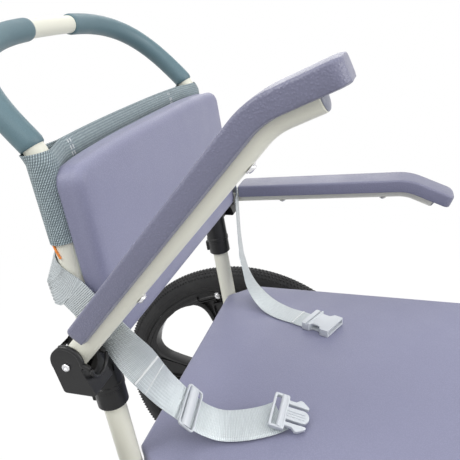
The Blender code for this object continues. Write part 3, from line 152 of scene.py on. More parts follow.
def makeFloor():
    half = stage["floorSize"] / 2
    mesh = bpy.data.meshes.new("floor")
    corners = [(-half, -half, 0), (half, -half, 0), (half, half, 0), (-half, half, 0)]
    mesh.from_pydata(corners, [], [(0, 1, 2, 3)])
    floor = bpy.data.objects.new("floor", mesh)
    bpy.context.scene.collection.objects.link(floor)
    material = bpy.data.materials.new("paleFloor")
    material.use_nodes = True
    tree = material.node_tree
    matte = addNode(tree, "ShaderNodeBsdfDiffuse")
    fill(matte, {"Color": (*[stage["floorBounce"]] * 3, 1.0)})
    faint = addNode(tree, "ShaderNodeBsdfDiffuse")
    fill(faint, {"Color": (*[stage["floorWhite"]] * 3, 1.0)})
    glow = addNode(tree, "ShaderNodeEmission")
    fill(glow, {"Strength": stage["floorGlow"]})
    near = addNode(tree, "ShaderNodeAddShader", faint.outputs[0], glow.outputs[0])
    where = addNode(tree, "ShaderNodeTexCoord")
    far = addNode(tree, "ShaderNodeVectorMath", where.outputs["Object"], operation="LENGTH")
    fade = addNode(tree, "ShaderNodeMapRange", far.outputs["Value"])
    fill(fade, {"From Min": stage["fade"][0], "From Max": stage["fade"][1]})
    plain = addNode(tree, "ShaderNodeEmission")
    seen = addNode(tree, "ShaderNodeMixShader", fade.outputs["Result"], near.outputs[0], plain.outputs[0])
    lightPathWhite(tree, seen.outputs[0], matte.outputs[0], tree.nodes["Material Output"].inputs["Surface"])
    mesh.materials.append(material)


def makeLamps():
    for number, (place, aim, size, watts) in enumerate(stage["lamps"]):
        data = bpy.data.lights.new(f"softbox{number}", "AREA")
        data.shape = "SQUARE"
        data.size = size
        data.energy = watts
        lamp = bpy.data.objects.new(f"softbox{number}", data)
        lamp.location = place
        lamp.visible_camera = False
        lamp.rotation_euler = (Vector(aim) - Vector(place)).to_track_quat("-Z", "Y").to_euler()
        bpy.context.scene.collection.objects.link(lamp)


makeCamera()
makeWorld()
makeFloor()
makeLamps()
bpy.context.scene.view_settings.view_transform = "Standard"
print("camera and stage made")


# finishes: each is a node material with its own grain

class Finish:
    def __init__(self, name, colour, roughness, metallic=0.0):
        self.material = bpy.data.materials.new(name)
        self.material.use_nodes = True
        self.tree = self.material.node_tree
        self.shader = self.tree.nodes["Principled BSDF"]
        self.set({"Base Color": (*colour, 1.0), "Roughness": roughness, "Metallic": metallic})
        self.colour = colour
        self.roughness = roughness
        self.heights = []
        coordinates = self.node("ShaderNodeTexCoord")
        self.place = coordinates.outputs["Object"]
        self.flat = coordinates.outputs["UV"]

    def set(self, values):
        fill(self.shader, values)

    def node(self, kind, *sources, **values):
        return addNode(self.tree, kind, *sources, **values)

    def link(self, start, end):
        self.tree.links.new(start, end)

    def noise(self, scale, detail=3.0, rough=0.55, where=None):
        made = self.node("ShaderNodeTexNoise", where or self.place)
        fill(made, {"Scale": scale, "Detail": detail, "Roughness": rough})
        return made.outputs["Fac"]

    def cells(self, scale):
        made = self.node("ShaderNodeTexVoronoi", self.place, feature="SMOOTH_F1")
        fill(made, {"Scale": scale, "Smoothness": 0.6})
        return made.outputs["Distance"]

    def bands(self, pitch, turn=0.0, wobble=0.0):
        # even ridges across the cloth's own length, or turned from it
        turned = self.node("ShaderNodeMapping", self.flat)
        fill(turned, {"Rotation": (0.0, 0.0, turn)})
        made = self.node("ShaderNodeTexWave", turned.outputs["Vector"], wave_type="BANDS",
                         bands_direction="Y", wave_profile="SIN")
        fill(made, {"Scale": pi / 10 / pitch, "Distortion": wobble})
        return made.outputs["Fac"]

    def product(self, first, second):
        return self.node("ShaderNodeMath", first, second, operation="MULTIPLY").outputs["Value"]

    def stretched(self, scale):
        made = self.node("ShaderNodeMapping", self.flat)
        fill(made, {"Scale": scale})
        return made.outputs["Vector"]

    def spread(self, value, low, high, newLow, newHigh):
        made = self.node("ShaderNodeMapRange", value)
        fill(made, {"From Min": low, "From Max": high, "To Min": newLow, "To Max": newHigh})
        return made.outputs["Result"]

    def mixColour(self, amount, first, second):
        made = self.node("ShaderNodeMix", data_type="RGBA")
        self.link(amount, made.inputs["Factor"])
        for key, colour in (("A", first), ("B", second)):
            socket = [item for item in made.inputs if item.name == key and item.type == "RGBA"][0]
            if hasattr(colour, "is_linked"):
                self.link(colour, socket)
            else:
                socket.default_value = (*colour, 1.0)
        return [item for item in made.outputs if item.type == "RGBA"][0]

    def tint(self, amount, darker, lighter):
        low = tuple(channel * darker for channel in self.colour)
        high = tuple(channel * lighter for channel in self.colour)
        return self.mixColour(amount, low, high)

    def paint(self, colour):
        self.link(colour, self.shader.inputs["Base Color"])

    def gloss(self, value, change):
        spot = self.spread(value, 0.3, 0.7, self.roughness - change, self.roughness + change)
        self.link(spot, self.shader.inputs["Roughness"])

    def bump(self, height, distance):
        made = self.node("ShaderNodeBump")
        fill(made, {"Distance": distance, "Strength": 1.0})
        self.link(height, made.inputs["Height"])
        if self.heights:
            self.link(self.heights[-1], made.inputs["Normal"])
        self.heights.append(made.outputs["Normal"])
        self.link(made.outputs["Normal"], self.shader.inputs["Normal"])


def creamCoat():
    made = Finish("creamCoat", (0.790, 0.785, 0.680), 0.36)
    mottled = made.noise(14.0)
    made.paint(made.tint(mottled, 0.955, 1.03))
    made.gloss(made.noise(60.0), 0.05)
    made.bump(made.noise(700.0, 1.0), 0.00008)       # orange peel of the powder coat
    made.set({"Coat Weight": 0.12})
    return made.material


def foamSkin(name, cellScale, cellDepth, roughness, level):
    colour = tuple(level * part for part in (1.0, 1.02, 1.49))
    made = Finish(name, colour, roughness)
    grain = made.cells(cellScale)
    fine = made.noise(900.0, 2.0)
    broad = made.noise(7.0)
    shade = made.tint(made.spread(grain, 0.05, 0.55, 0.0, 1.0), 1.06, 0.91)
    pale = tuple(part * 1.08 for part in colour)
    made.paint(made.mixColour(made.spread(broad, 0.35, 0.65, 0.0, 0.25), shade, pale))
    made.gloss(made.noise(25.0), 0.06)
    made.bump(made.spread(grain, 0.0, 0.6, 1.0, 0.0), cellDepth)
    made.bump(fine, 0.00006)
    made.set({"Sheen Weight": 0.12, "Sheen Roughness": 0.4})
    return made.material


def slateMesh():
    # rows of slanted loops, as in a knitted mesh
    made = Finish("slateMesh", (0.150, 0.215, 0.235), 0.80)
    rows = made.bands(0.0025)
    loops = made.bands(0.0020, radians(58), 0.3)
    weave = made.product(made.spread(rows, 0.1, 0.8, 0.5, 1.0), made.spread(loops, 0.15, 0.75, 0.15, 1.0))
    patchy = made.spread(made.noise(160.0, 2.0), 0.35, 0.65, 0.8, 1.0)
    made.paint(made.mixColour(made.product(weave, patchy), (0.095, 0.130, 0.145), (0.500, 0.600, 0.635)))
    made.bump(weave, 0.0007)
    made.bump(made.noise(1600.0, 1.0), 0.0002)
    made.set({"Sheen Weight": 0.2})
    return made.material


def gripFoam():
    made = Finish("tealFoam", (0.105, 0.178, 0.208), 0.45)
    pores = made.noise(1500.0, 2.0)
    made.paint(made.tint(made.spread(pores, 0.35, 0.65, 0.0, 1.0), 0.92, 1.07))
    made.gloss(made.noise(40.0), 0.05)
    made.bump(pores, 0.00012)
    return made.material


def blackMoulded():
    made = Finish("blackMoulded", (0.013, 0.013, 0.01378), 0.38)
    made.paint(made.tint(made.noise(30.0), 0.8, 1.25))
    made.gloss(made.noise(90.0), 0.07)
    made.bump(made.noise(1100.0, 2.0), 0.0001)       # fine eroded grain of the mould
    made.set({"Specular IOR Level": 0.34})
    return made.material


def tyreRubber():
    made = Finish("tyreRubber", (0.024, 0.024, 0.025), 0.62)
    dust = made.noise(22.0, 5.0)
    dusty = made.spread(dust, 0.45, 0.75, 0.0, 0.35)
    made.paint(made.mixColour(dusty, (0.020, 0.020, 0.021), (0.060, 0.059, 0.057)))
    made.gloss(made.noise(130.0), 0.08)
    made.bump(made.noise(800.0, 2.0), 0.00015)
    made.set({"Specular IOR Level": 0.30})
    return made.material


def brightMetal():
    made = Finish("brightZinc", (0.72, 0.72, 0.7344), 0.24, 1.0)
    made.paint(made.tint(made.noise(45.0), 0.94, 1.04))
    made.gloss(made.noise(240.0, 4.0), 0.06)
    made.bump(made.noise(500.0, 2.0), 0.00003)
    return made.material


def ribbedWebbing():
    # fine ribs across the belt, faint warp lines along it
    made = Finish("ribbedWebbing", (0.58, 0.625, 0.640), 0.33, 0.45)
    ribs = made.bands(0.0019, 0.0, 0.8)
    warp = made.bands(0.0034, pi / 2)
    streak = made.noise(1.0, 3.0, 0.6, made.stretched((70.0, 900.0, 1.0)))
    cloth = made.tint(made.spread(ribs, 0.1, 0.9, 0.0, 1.0), 0.86, 1.08)
    made.paint(made.mixColour(made.spread(streak, 0.40, 0.68, 0.0, 0.45), cloth, (0.38, 0.425, 0.445)))
    made.gloss(made.noise(60.0), 0.05)
    made.bump(ribs, 0.0003)
    made.bump(warp, 0.0001)
    made.set({"Sheen Weight": 0.25, "Sheen Roughness": 0.35})
    return made.material


def mouldedPlastic(name, colour, roughness):
    made = Finish(name, colour, roughness)
    made.paint(made.tint(made.noise(18.0), 0.96, 1.03))
    made.gloss(made.noise(70.0), 0.05)
    made.bump(made.noise(900.0, 2.0), 0.00005)
    return made.material


def sewingThread():
    made = Finish("whiteThread", (0.80, 0.82, 0.83), 0.6)
    made.paint(made.tint(made.noise(2500.0), 0.85, 1.05))
    made.bump(made.noise(3000.0, 2.0), 0.0001)
    return made.material


finishes = {
    "cream_coat": creamCoat(),
    "lavender_foam": foamSkin("smoothSkin", 640.0, 0.00010, 0.50, 0.238),
    "slate_mesh": slateMesh(),
    "teal_grip": gripFoam(),
    "black_plastic": blackMoulded(),
    "black_rubber": tyreRubber(),
    "bright_steel": brightMetal(),
    "silver_webbing": ribbedWebbing(),
    "grey_buckle": mouldedPlastic("paleBuckle", (0.60, 0.63, 0.665), 0.34),
    "white_plastic": mouldedPlastic("whiteMoulded", (0.76, 0.76, 0.73), 0.38),
    "grey_plastic": mouldedPlastic("greyMoulded", (0.30, 0.31, 0.33), 0.45),
}
# the arm pads take the cushions' lavender foam with a coarser, deeper grain and a darker level (0.180 against
# 0.238); the darker level is painted shade for the pads' shaded sides
armSkinPaintedShade = foamSkin("grainedSkinPaintedShade", 560.0, 0.00030, 0.42, 0.180)
thread = sewingThread()
capPlastic = mouldedPlastic("greyCap", (0.22, 0.23, 0.29), 0.42)
orangeTag = mouldedPlastic("orangeTag", (0.85, 0.26, 0.04), 0.5)
print("finishes made:", len(finishes))


# every CAD node takes the finish of its slot; what is replaced below is hidden
slotOf = {entry["node"]: entry["material_slot"] for entry in frame["record"]["subparts"]}
for name, thing in nodes.items():
    thing.data.materials.clear()
    thing.data.materials.append(finishes[slotOf[name]])


# shared makers

def addPiece(name, bm, slot, body, stands=(), smooth=40.0, finish=None):
    # takes the finish of its slot unless another is given
    bmesh.ops.recalc_face_normals(bm, faces=bm.faces)
    mesh = bpy.data.meshes.new(name)
    bm.to_mesh(mesh)
    bm.free()
    mesh.materials.append(finish or finishes[slot])
    mesh.shade_smooth()
    mesh.set_sharp_from_angle(angle=radians(smooth))
    thing = bpy.data.objects.new(name, mesh)
    bpy.context.scene.collection.objects.link(thing)
    if stands:
        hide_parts(*stands)
    if body:
        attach(thing, body)
    return thing


def settle(thing, smooth=40.0):
    # the modifiers' result becomes the piece's own mesh
    bpy.context.view_layer.update()
    evaluated = thing.evaluated_get(bpy.context.evaluated_depsgraph_get())
    mesh = bpy.data.meshes.new_from_object(evaluated)
    thing.modifiers.clear()
    thing.data = mesh
    mesh.shade_smooth()
    mesh.set_sharp_from_angle(angle=radians(smooth))


def cutWith(thing, tools, operation="DIFFERENCE"):
    for tool in tools:
        modifier = thing.modifiers.new("shape", "BOOLEAN")
        modifier.operation = operation
        modifier.object = tool
        modifier.solver = "EXACT"
    settle(thing)
    for tool in tools:
        bpy.data.objects.remove(tool, do_unlink=True)


def toolFrom(bm):
    bmesh.ops.recalc_face_normals(bm, faces=bm.faces)
    mesh = bpy.data.meshes.new("tool")
    bm.to_mesh(mesh)
    bm.free()
    thing = bpy.data.objects.new("tool", mesh)
    bpy.context.scene.collection.objects.link(thing)
    return thing


def softenEdges(thing, width, segments=3):
    bevel = thing.modifiers.new("edges", "BEVEL")
    bevel.width = width
    bevel.segments = segments
    bevel.limit_method = "ANGLE"
    bevel.angle_limit = radians(40.0)


def roundOver(thing, width, segments=3):
    softenEdges(thing, width, segments)
    settle(thing, 35.0)


def framesAlong(path):
    # a frame at each point, carried along without twist
    frames = []
    across = None
    for number, point in enumerate(path):
        ahead = (path[min(number + 1, len(path) - 1)] - path[max(number - 1, 0)]).normalized()
        if across is None:
            start = Vector((0, 0, 1)) if abs(ahead.z) < 0.8 else Vector((0, 1, 0))
            across = ahead.cross(start).normalized()
        across = (across - ahead * across.dot(ahead)).normalized()
        frames.append((point, ahead, across, ahead.cross(across)))
    return frames


def ringOfPoints(bm, point, across, up, radius, count):
    ring = []
    for number in range(count):
        angle = 2 * pi * number / count
        ring.append(bm.verts.new(point + (across * cos(angle) + up * sin(angle)) * radius))
    return ring


def bridge(bm, first, second, closed=True):
    count = len(first)
    for number in range(count if closed else count - 1):
        after = (number + 1) % count
        bm.faces.new((first[number], first[after], second[after], second[number]))


def pipe(path, radius, count=32, wall=None, lip=0.0006):
    # tube along a path; open with a wall, or a solid bar; a radius may be a list
    bm = bmesh.new()
    path = [Vector(point) for point in path]
    frames = framesAlong(path)
    radii = list(radius) if hasattr(radius, "__len__") else [radius] * len(path)
    rings = []
    first, last = frames[0], frames[-1]
    rings.append(ringOfPoints(bm, first[0], first[2], first[3], radii[0] - lip, count))
    for number, (point, ahead, across, up) in enumerate(frames):
        if number == 0:
            point = point + ahead * lip
        if number == len(frames) - 1:
            point = point - ahead * lip
        rings.append(ringOfPoints(bm, point, across, up, radii[number], count))
    rings.append(ringOfPoints(bm, last[0], last[2], last[3], radii[-1] - lip, count))
    if wall is None:
        bm.faces.new(rings[0])
        bm.faces.new(rings[-1])
    else:
        for number in range(len(frames) - 1, -1, -1):
            point, ahead, across, up = frames[number]
            rings.append(ringOfPoints(bm, point, across, up, radii[number] - wall, count))
        bridge(bm, rings[-1], rings[0])
    for before, after in zip(rings, rings[1:]):
        bridge(bm, before, after)
    return bm


def splinePoint(ends, piece, t):
    a, b, c, d = ends[piece:piece + 4]
    square = 2 * a - 5 * b + 4 * c - d
    cube = 3 * b - a - 3 * c + d
    return 0.5 * (2 * b + (c - a) * t + square * t * t + cube * t ** 3)


def smoothPath(points, spacing):
    # even points on a smooth line through the given ones
    points = [Vector(point) for point in points]
    ends = [2 * points[0] - points[1]] + points + [2 * points[-1] - points[-2]]
    dense = []
    for piece in range(len(points) - 1):
        dense += [splinePoint(ends, piece, step / 24) for step in range(24)]
    dense.append(points[-1])
    return evenPath(dense, spacing)


def evenPath(dense, spacing):
    lengths = [0.0]
    for before, after in zip(dense, dense[1:]):
        lengths.append(lengths[-1] + (after - before).length)
    count = max(2, round(lengths[-1] / spacing))
    result = []
    spot = 0
    for number in range(count + 1):
        target = lengths[-1] * number / count
        while spot < len(dense) - 2 and lengths[spot + 1] < target:
            spot += 1
        span = lengths[spot + 1] - lengths[spot]
        share = (target - lengths[spot]) / span if span else 0.0
        result.append(dense[spot].lerp(dense[spot + 1], share))
    return result


def roundedPath(corners, radius, steps=10):
    corners = [Vector(corner) for corner in corners]
    path = [corners[0]]
    for before, corner, after in zip(corners, corners[1:], corners[2:]):
        inward = (before - corner).normalized()
        outward = (after - corner).normalized()
        half = inward.angle(outward) / 2
        centre = corner + (inward + outward).normalized() * radius / sin(half)
        first = corner + inward * radius / tan(half) - centre
        last = corner + outward * radius / tan(half) - centre
        turn = first.angle(last)
        for step in range(steps + 1):
            share = step / steps
            swing = first * sin((1 - share) * turn) + last * sin(share * turn)
            path.append(centre + swing / sin(turn))
    path.append(corners[-1])
    return path


def arc(centre, radius, start, end, count):
    return [(centre[0] + radius * cos(start + (end - start) * n / count),
             centre[1] + radius * sin(start + (end - start) * n / count)) for n in range(count + 1)]


def roundBox(halfX, halfY, power, count):
    points = []
    for number in range(count):
        angle = 2 * pi * number / count
        x = copysign(abs(cos(angle)) ** (2 / power), cos(angle)) * halfX
        y = copysign(abs(sin(angle)) ** (2 / power), sin(angle)) * halfY
        points.append((x, y))
    return points


def slab(outline, low, high, place):
    # a flat outline between two heights, put where place says
    bm = bmesh.new()
    bottom = [bm.verts.new(place @ Vector((x, y, low))) for x, y in outline]
    top = [bm.verts.new(place @ Vector((x, y, high))) for x, y in outline]
    bm.faces.new(bottom[::-1])
    bm.faces.new(top)
    bridge(bm, bottom, top)
    return bm


def turned(profile, count, place, closed=True):
    # (radius, height) points turned about the place's Z axis
    bm = bmesh.new()
    rings = []
    for radius, height in profile:
        if radius < 1e-6:
            rings.append([bm.verts.new(place @ Vector((0, 0, height)))])
            continue
        ring = []
        for number in range(count):
            angle = 2 * pi * number / count
            spot = Vector((radius * cos(angle), radius * sin(angle), height))
            ring.append(bm.verts.new(place @ spot))
        rings.append(ring)
    pairs = list(zip(rings, rings[1:]))
    if closed:
        pairs.append((rings[-1], rings[0]))
    for first, second in pairs:
        if len(first) == 1 or len(second) == 1:
            tip = first if len(first) == 1 else second
            ring = second if len(first) == 1 else first
            for number in range(count):
                bm.faces.new((tip[0], ring[number], ring[(number + 1) % count]))
        else:
            bridge(bm, first, second)
    return bm


def addTo(bm, other):
    # joins a second bmesh into the first
    mesh = bpy.data.meshes.new("joined")
    other.to_mesh(mesh)
    other.free()
    bm.from_mesh(mesh)
    bpy.data.meshes.remove(mesh)
    return bm


# where things are, as in the part

post = {
    "x": 0.197, "y": 0.2001, "z": 0.590,        # the point that heights on the post count from
    "lean": radians(6.5),
    "radius": 0.0125, "wall": 0.0012,
    "foot": -0.3646, "top": 0.272,
}
axleY = 0.188
wheelX = 0.276
wheelZ = 0.262


def onPost(x, along, forward=0.0):
    lean = post["lean"]
    return Vector((x, post["y"] + along * sin(lean) - forward * cos(lean),
                   post["z"] + along * cos(lean) + forward * sin(lean)))


postUp = (onPost(0, 1) - onPost(0, 0)).normalized()
postForward = (onPost(0, 0, 1) - onPost(0, 0)).normalized()


def postFrame(x, along, forward):
    # X across, Y up the post, Z forward
    spot = onPost(x, along, forward)
    sine, cosine = sin(post["lean"]), cos(post["lean"])
    return Matrix(((1, 0, 0, spot.x), (0, sine, -cosine, spot.y), (0, cosine, sine, spot.z), (0, 0, 0, 1)))


def sideFrame(x, y=0.0, z=0.0):
    # X is +Y, Y is +Z, thickness along +X
    return Matrix(((0, 0, 1, x), (1, 0, 0, y), (0, 1, 0, z), (0, 0, 0, 1)))


def sideways(spot, sign):
    # Z points along +X or -X
    return Matrix.Translation(spot) @ Matrix.Rotation(sign * pi / 2, 4, "Y")


def axleFrame(sign, x, y, z):
    return sideways((sign * x, y, z), sign)


# frame tubes, round where the CAD has flats

tubes = {
    "light": 0.011,
    "railZ": 0.4519, "lowerZ": 0.215,
    "legY": -0.235, "legZ": 0.200, "legBend": 0.060,
    "plug": ((0, 0.0035), (0.007, 0.003), (0.0092, 0.0012), (0.0096, 0.0), (0.0094, -0.008), (0, -0.008)),
}


def makeTubes():
    wall = post["wall"]
    for side, sign in sides:
        x = sign * post["x"]
        bm = pipe([onPost(x, post["foot"]), onPost(x, post["top"])], post["radius"], 40, wall)
        addPiece(f"postTube.{side}", bm, "cream_coat", "frame", [f"rear_post_{side}"])
        low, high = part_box(f"side_tube_{side}")
        corners = [(x, high.y, tubes["railZ"]), (x, tubes["legY"], tubes["railZ"]),
                   (x, tubes["legY"], tubes["legZ"])]
        bm = pipe(roundedPath(corners, tubes["legBend"]), post["radius"], 40, wall)
        addPiece(f"sideTube.{side}", bm, "cream_coat", "frame", [f"side_tube_{side}"])
        low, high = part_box(f"lower_rail_{side}")
        bm = pipe([(x, low.y, tubes["lowerZ"]), (x, high.y, tubes["lowerZ"])], tubes["light"], 36, wall)
        addPiece(f"lowerRail.{side}", bm, "cream_coat", "frame", [f"lower_rail_{side}"])
        rear = Matrix.Translation((x, high.y, tubes["lowerZ"])) @ Matrix.Rotation(-pi / 2, 4, "X")
        plug = turned(tubes["plug"], 36, rear, False)
        addPiece(f"railPlug.{side}", plug, "grey_plastic", "frame")
    for node, name in (("rear_cross_tube", "rearCrossTube"), ("front_cross_tube", "frontCrossTube")):
        low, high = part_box(node)
        y, z = (low.y + high.y) / 2, (low.z + high.z) / 2
        bm = pipe([(low.x, y, z), (high.x, y, z)], tubes["light"], 36, wall)
        addPiece(name, bm, "cream_coat", "frame", [node])
        for end in (low.x, high.x):
            # weld bead where the cross tube meets its upright
            inward = -1 if end > 0 else 1
            light = tubes["light"]
            section = [(light - 0.0003, 0.0), (light + 0.0014, 0.0006), (light + 0.0010, 0.0020),
                       (light - 0.0003, 0.0028)]
            bead = turned(section, 36, sideways((end, y, z), inward))
            addPiece(f"weldBead.{name}.{'left' if end > 0 else 'right'}", bead, "cream_coat", "frame")


# push bow and its two foam grips

bow = {
    "knee": 0.277, "base": 0.2855, "insert": 0.020,
    "rise": 0.1393, "lean": radians(43.3), "roundness": 3.1,
    "radius": 0.0108, "steps": 54, "lastShare": 8 / 9, "spacing": 0.006,
    "grip": 0.013, "gripSpacing": 0.004,
    "gripEnd": {"left": 0.043, "right": 0.047},     # inner ends, from the middle
    "gripLow": 0.005,                               # how far the grips run down past the arch
}


def bowPoint(quarter):
    angle = quarter * pi / 2
    x = copysign(abs(sin(angle)) ** (2 / bow["roundness"]), angle) * post["x"]
    rise = max(cos(angle), 0.0) ** (2 / bow["roundness"]) * bow["rise"]
    return onPost(x, bow["base"]) + Vector((0, sin(bow["lean"]), cos(bow["lean"]))) * rise


def makeBow():
    steps = bow["steps"]
    quarters = [sin(n / steps * bow["lastShare"] * pi / 2) for n in range(-steps, steps + 1)]
    arch = [bowPoint(quarter) for quarter in quarters]
    feet = []
    for x in (-post["x"], post["x"]):
        feet.append([onPost(x, post["top"] - bow["insert"]), onPost(x, bow["knee"])])
    path = smoothPath(feet[0] + arch + feet[1][::-1], bow["spacing"])
    bm = pipe(path, bow["radius"], 40, post["wall"])
    addPiece("bowTube", bm, "cream_coat", "frame", ["push_bow"])
    for side, sign in sides:
        end = bow["gripEnd"][side]
        start = asin((end / post["x"]) ** (bow["roundness"] / 2)) / (pi / 2)
        held = [bowPoint(sign * start)] + [point for point in arch if point.x * sign > end + 0.001][::sign]
        held.append(held[-1] + (feet[(sign + 1) // 2][1] - held[-1]).normalized() * bow["gripLow"])
        held = evenPath(held, bow["gripSpacing"])
        radii = [bow["grip"]] * len(held)
        radii[0] = radii[-1] = bow["grip"] - 0.0005
        bm = pipe(held, radii, 48, bow["grip"] - bow["radius"] - 0.0003, 0.0008)
        addPiece(f"foamGrip.{side}", bm, "teal_grip", "frame", [f"grip_{side}"])


# mesh sling, sewn round the posts

sling = {
    "bottom": 0.198, "top": 0.2868, "rows": 18,
    "bendFrom": 0.2785, "bend": 0.5,        # the top hem leans back with the bow
    "cloth": 0.0012, "seam": 0.038, "sag": 0.0022, "crown": 0.0045,
    "stitchX": {"left": 0.121, "right": 0.1485},
    "stitchGap": 0.0045, "stitch": 0.0062, "dash": 0.0042,
}


def hemRise(x):
    # the top hem stands a little higher between the posts
    return sling["crown"] * max(0.0, 1 - abs(x / post["x"]) ** 2.5)


def makeSling():
    radius = post["radius"] + 0.0004
    cloth = sling["cloth"]
    bm = bmesh.new()
    uv = bm.loops.layers.uv.new("cloth")
    # one loop of cloth: round the left post, across the back, round the right post, and back across the front
    outline = []
    for sign in (1, -1):
        lean = acos((radius + cloth) / sling["seam"])
        turn = 0.0 if sign > 0 else pi
        ring = arc((sign * post["x"], 0.0), radius + cloth, turn - pi + lean, turn + pi - lean, 28)
        seam = (sign * (post["x"] - sling["seam"]), cloth * 0.5 * sign)
        panel = [(seam[0] * (1 - n / 12), seam[1]) for n in range(25)]
        outline += ring + panel
    high = sling["top"] - sling["bottom"]
    rows = [sling["bottom"] + high * n / sling["rows"] for n in range(sling["rows"] + 1)]
    lengths = [0.0]
    for first, second in zip(outline, outline[1:] + outline[:1]):
        lengths.append(lengths[-1] + dist(first, second))
    grid = []
    for row in rows:
        share = (row - sling["bottom"]) / high
        sag = sling["sag"] * 4 * share * (1 - share)      # the cloth pulls in a little between its hems
        back = max(0.0, row - sling["bendFrom"]) * sling["bend"]
        line = []
        for x, forward in outline:
            inner = max(0.0, 1 - abs(x) / (post["x"] - sling["seam"]))
            spot = onPost(x, row + hemRise(x) * share * share, forward - sag * inner - back)
            line.append(bm.verts.new(spot))
        grid.append(line)
    count = len(outline)
    for low, up, rowLow, rowUp in zip(grid, grid[1:], rows, rows[1:]):
        for number in range(count):
            after = (number + 1) % count
            face = bm.faces.new((low[number], low[after], up[after], up[number]))
            spots = ((lengths[number], rowLow), (lengths[number + 1], rowLow), (lengths[number + 1], rowUp),
                     (lengths[number], rowUp))
            for corner, spot in zip(face.loops, spots):
                corner[uv].uv = spot
    thing = addPiece("meshSling", bm, "slate_mesh", "frame", ["back_sling"], 60.0)
    solid = thing.modifiers.new("cloth", "SOLIDIFY")
    solid.thickness = cloth * 0.7
    solid.offset = -1
    settle(thing, 60.0)
    makeSeams()
    makeTag()


def makeSeams():
    # two rows of white stitches beside each sleeve, on both faces
    for side, sign in sides:
        bm = bmesh.new()
        for row in (0.0, sling["stitchGap"]):
            x = sign * (sling["stitchX"][side] - row)
            along = sling["bottom"] + 0.003
            while along + sling["dash"] < sling["top"] + hemRise(x) - 0.0005:
                for face in (-1, 1):
                    back = max(0.0, along - sling["bendFrom"]) * sling["bend"]
                    bar = [onPost(x + 0.0005 * (-1) ** n, along + sling["dash"] * n,
                                  face * (sling["cloth"] * 0.5 + 0.0005) - back) for n in range(2)]
                    addTo(bm, pipe(bar, 0.0008, 8, lip=0.0002))
                along += sling["stitch"]
        addPiece(f"sleeveStitches.{side}", bm, "slate_mesh", "frame", finish=thread)


tag = {"from": (0.1995, -32.0), "to": (0.1835, -7.0), "radius": 0.0134, "half": 0.0012}


def makeTag():
    # plain orange tape that peeps out between the sling's hem and the belt, on the right post
    path = []
    for step in range(9):
        along, turn = (a + (b - a) * step / 8 for a, b in zip(tag["from"], tag["to"]))
        angle = radians(turn)
        outward = Vector((-1, 0, 0)) * cos(angle) + postForward * sin(angle)
        path.append(onPost(-post["x"], along) + outward * tag["radius"])
    addPiece("hemTape", pipe(path, tag["half"], 12, lip=0.0004), "slate_mesh", "frame", finish=orangeTag)


# moulded foam cushions

def cushionBody(outline, thickness, edge, crown, pull, place, tuck=0.004, rings=14):
    # closed pad over a flat outline: flat back, drawn-in sides, rounded rim and a crowned face
    bm = bmesh.new()
    count = len(outline)
    centre = Vector((sum(x for x, y in outline) / count, sum(y for x, y in outline) / count))
    flat = [Vector(point) for point in outline]
    normals = []
    for number in range(count):
        ahead = flat[(number + 1) % count] - flat[number - 1]
        normals.append(Vector((ahead.y, -ahead.x)).normalized())

    def ring(inset, height, shrink=1.0):
        made = []
        for point, normal in zip(flat, normals):
            spot = point - normal * inset
            spot = centre + (spot - centre) * shrink
            made.append(bm.verts.new(place @ Vector((spot.x, spot.y, height))))
        return made

    layers = [ring(tuck + 0.010, 0.0), ring(tuck, 0.0)]
    for step in range(1, 4):
        angle = pi / 2 * step / 3
        layers.append(ring(tuck * (1 - sin(angle)), tuck * (1 - cos(angle))))
    sideTop = thickness - crown - edge
    for step in range(1, 5):
        share = step / 5
        layers.append(ring(pull * sin(pi * share), tuck + (sideTop - tuck) * share))
    for step in range(8):
        angle = pi / 2 * step / 7
        layers.append(ring(edge * (1 - cos(angle)), sideTop + edge * sin(angle)))
    for step in range(1, rings):
        share = step / rings
        lift = crown * sin(pi / 2 * min(1.0, share * 1.35)) ** 1.2
        layers.append(ring(edge, thickness - crown + lift, 1 - share))
    for first, second in zip(layers, layers[1:]):
        bridge(bm, first, second)
    bm.faces.new(layers[0])
    bm.faces.new(layers[-1])
    return bm


def cornered(halfX, low, high, frontRadius, cut):
    # plan of the seat: rounded corners at the low end, corners cut at 45 degrees at the high end
    points = []
    points += arc((halfX - frontRadius, low + frontRadius), frontRadius, -pi / 2, 0, 8)
    soft = 0.006
    corners = [points[-1], (halfX, high - cut), (halfX - cut, high), (0, high)]
    line = [Vector((x, y, 0)) for x, y in corners]
    points += [(spot.x, spot.y) for spot in roundedPath(line, soft, 5)[1:-1]]
    points += [(-x, y) for x, y in reversed(points)]
    dense = [Vector((x, y, 0)) for x, y in points] + [Vector((*points[0], 0))]
    return [(spot.x, spot.y) for spot in evenPath(dense, 0.006)[:-1]]


seat = {
    "half": 0.2207, "rear": 0.18747, "depth": 0.430,
    "bottom": 0.483, "thickness": 0.040,
    "frontCorner": 0.022, "cut": 0.0413,
    "edge": 0.0062, "crown": 0.0025, "pull": 0.0012,
}
backRest = {
    "half": 0.206, "bottom": 0.0874, "top": 0.2686, "rear": 0.0121, "thickness": 0.032,
    "corner": 0.016, "edge": 0.011, "crown": 0.002, "pull": 0.0008, "rise": 0.0075,
    "groove": 0.0150, "grooveEnds": (0.05, 0.31),       # room for the posts in the pad's back
}


def roundedRectangle(halfX, halfY, radius, spacing):
    corners = ((halfX - radius, -halfY + radius, -pi / 2), (halfX - radius, halfY - radius, 0.0),
               (-halfX + radius, halfY - radius, pi / 2), (-halfX + radius, -halfY + radius, pi))
    points = []
    for x, y, start in corners:
        points += arc((x, y), radius, start, start + pi / 2, 8)
    dense = [Vector((x, y, 0)) for x, y in points] + [Vector((*points[0], 0))]
    return [(spot.x, spot.y) for spot in evenPath(dense, spacing)[:-1]]


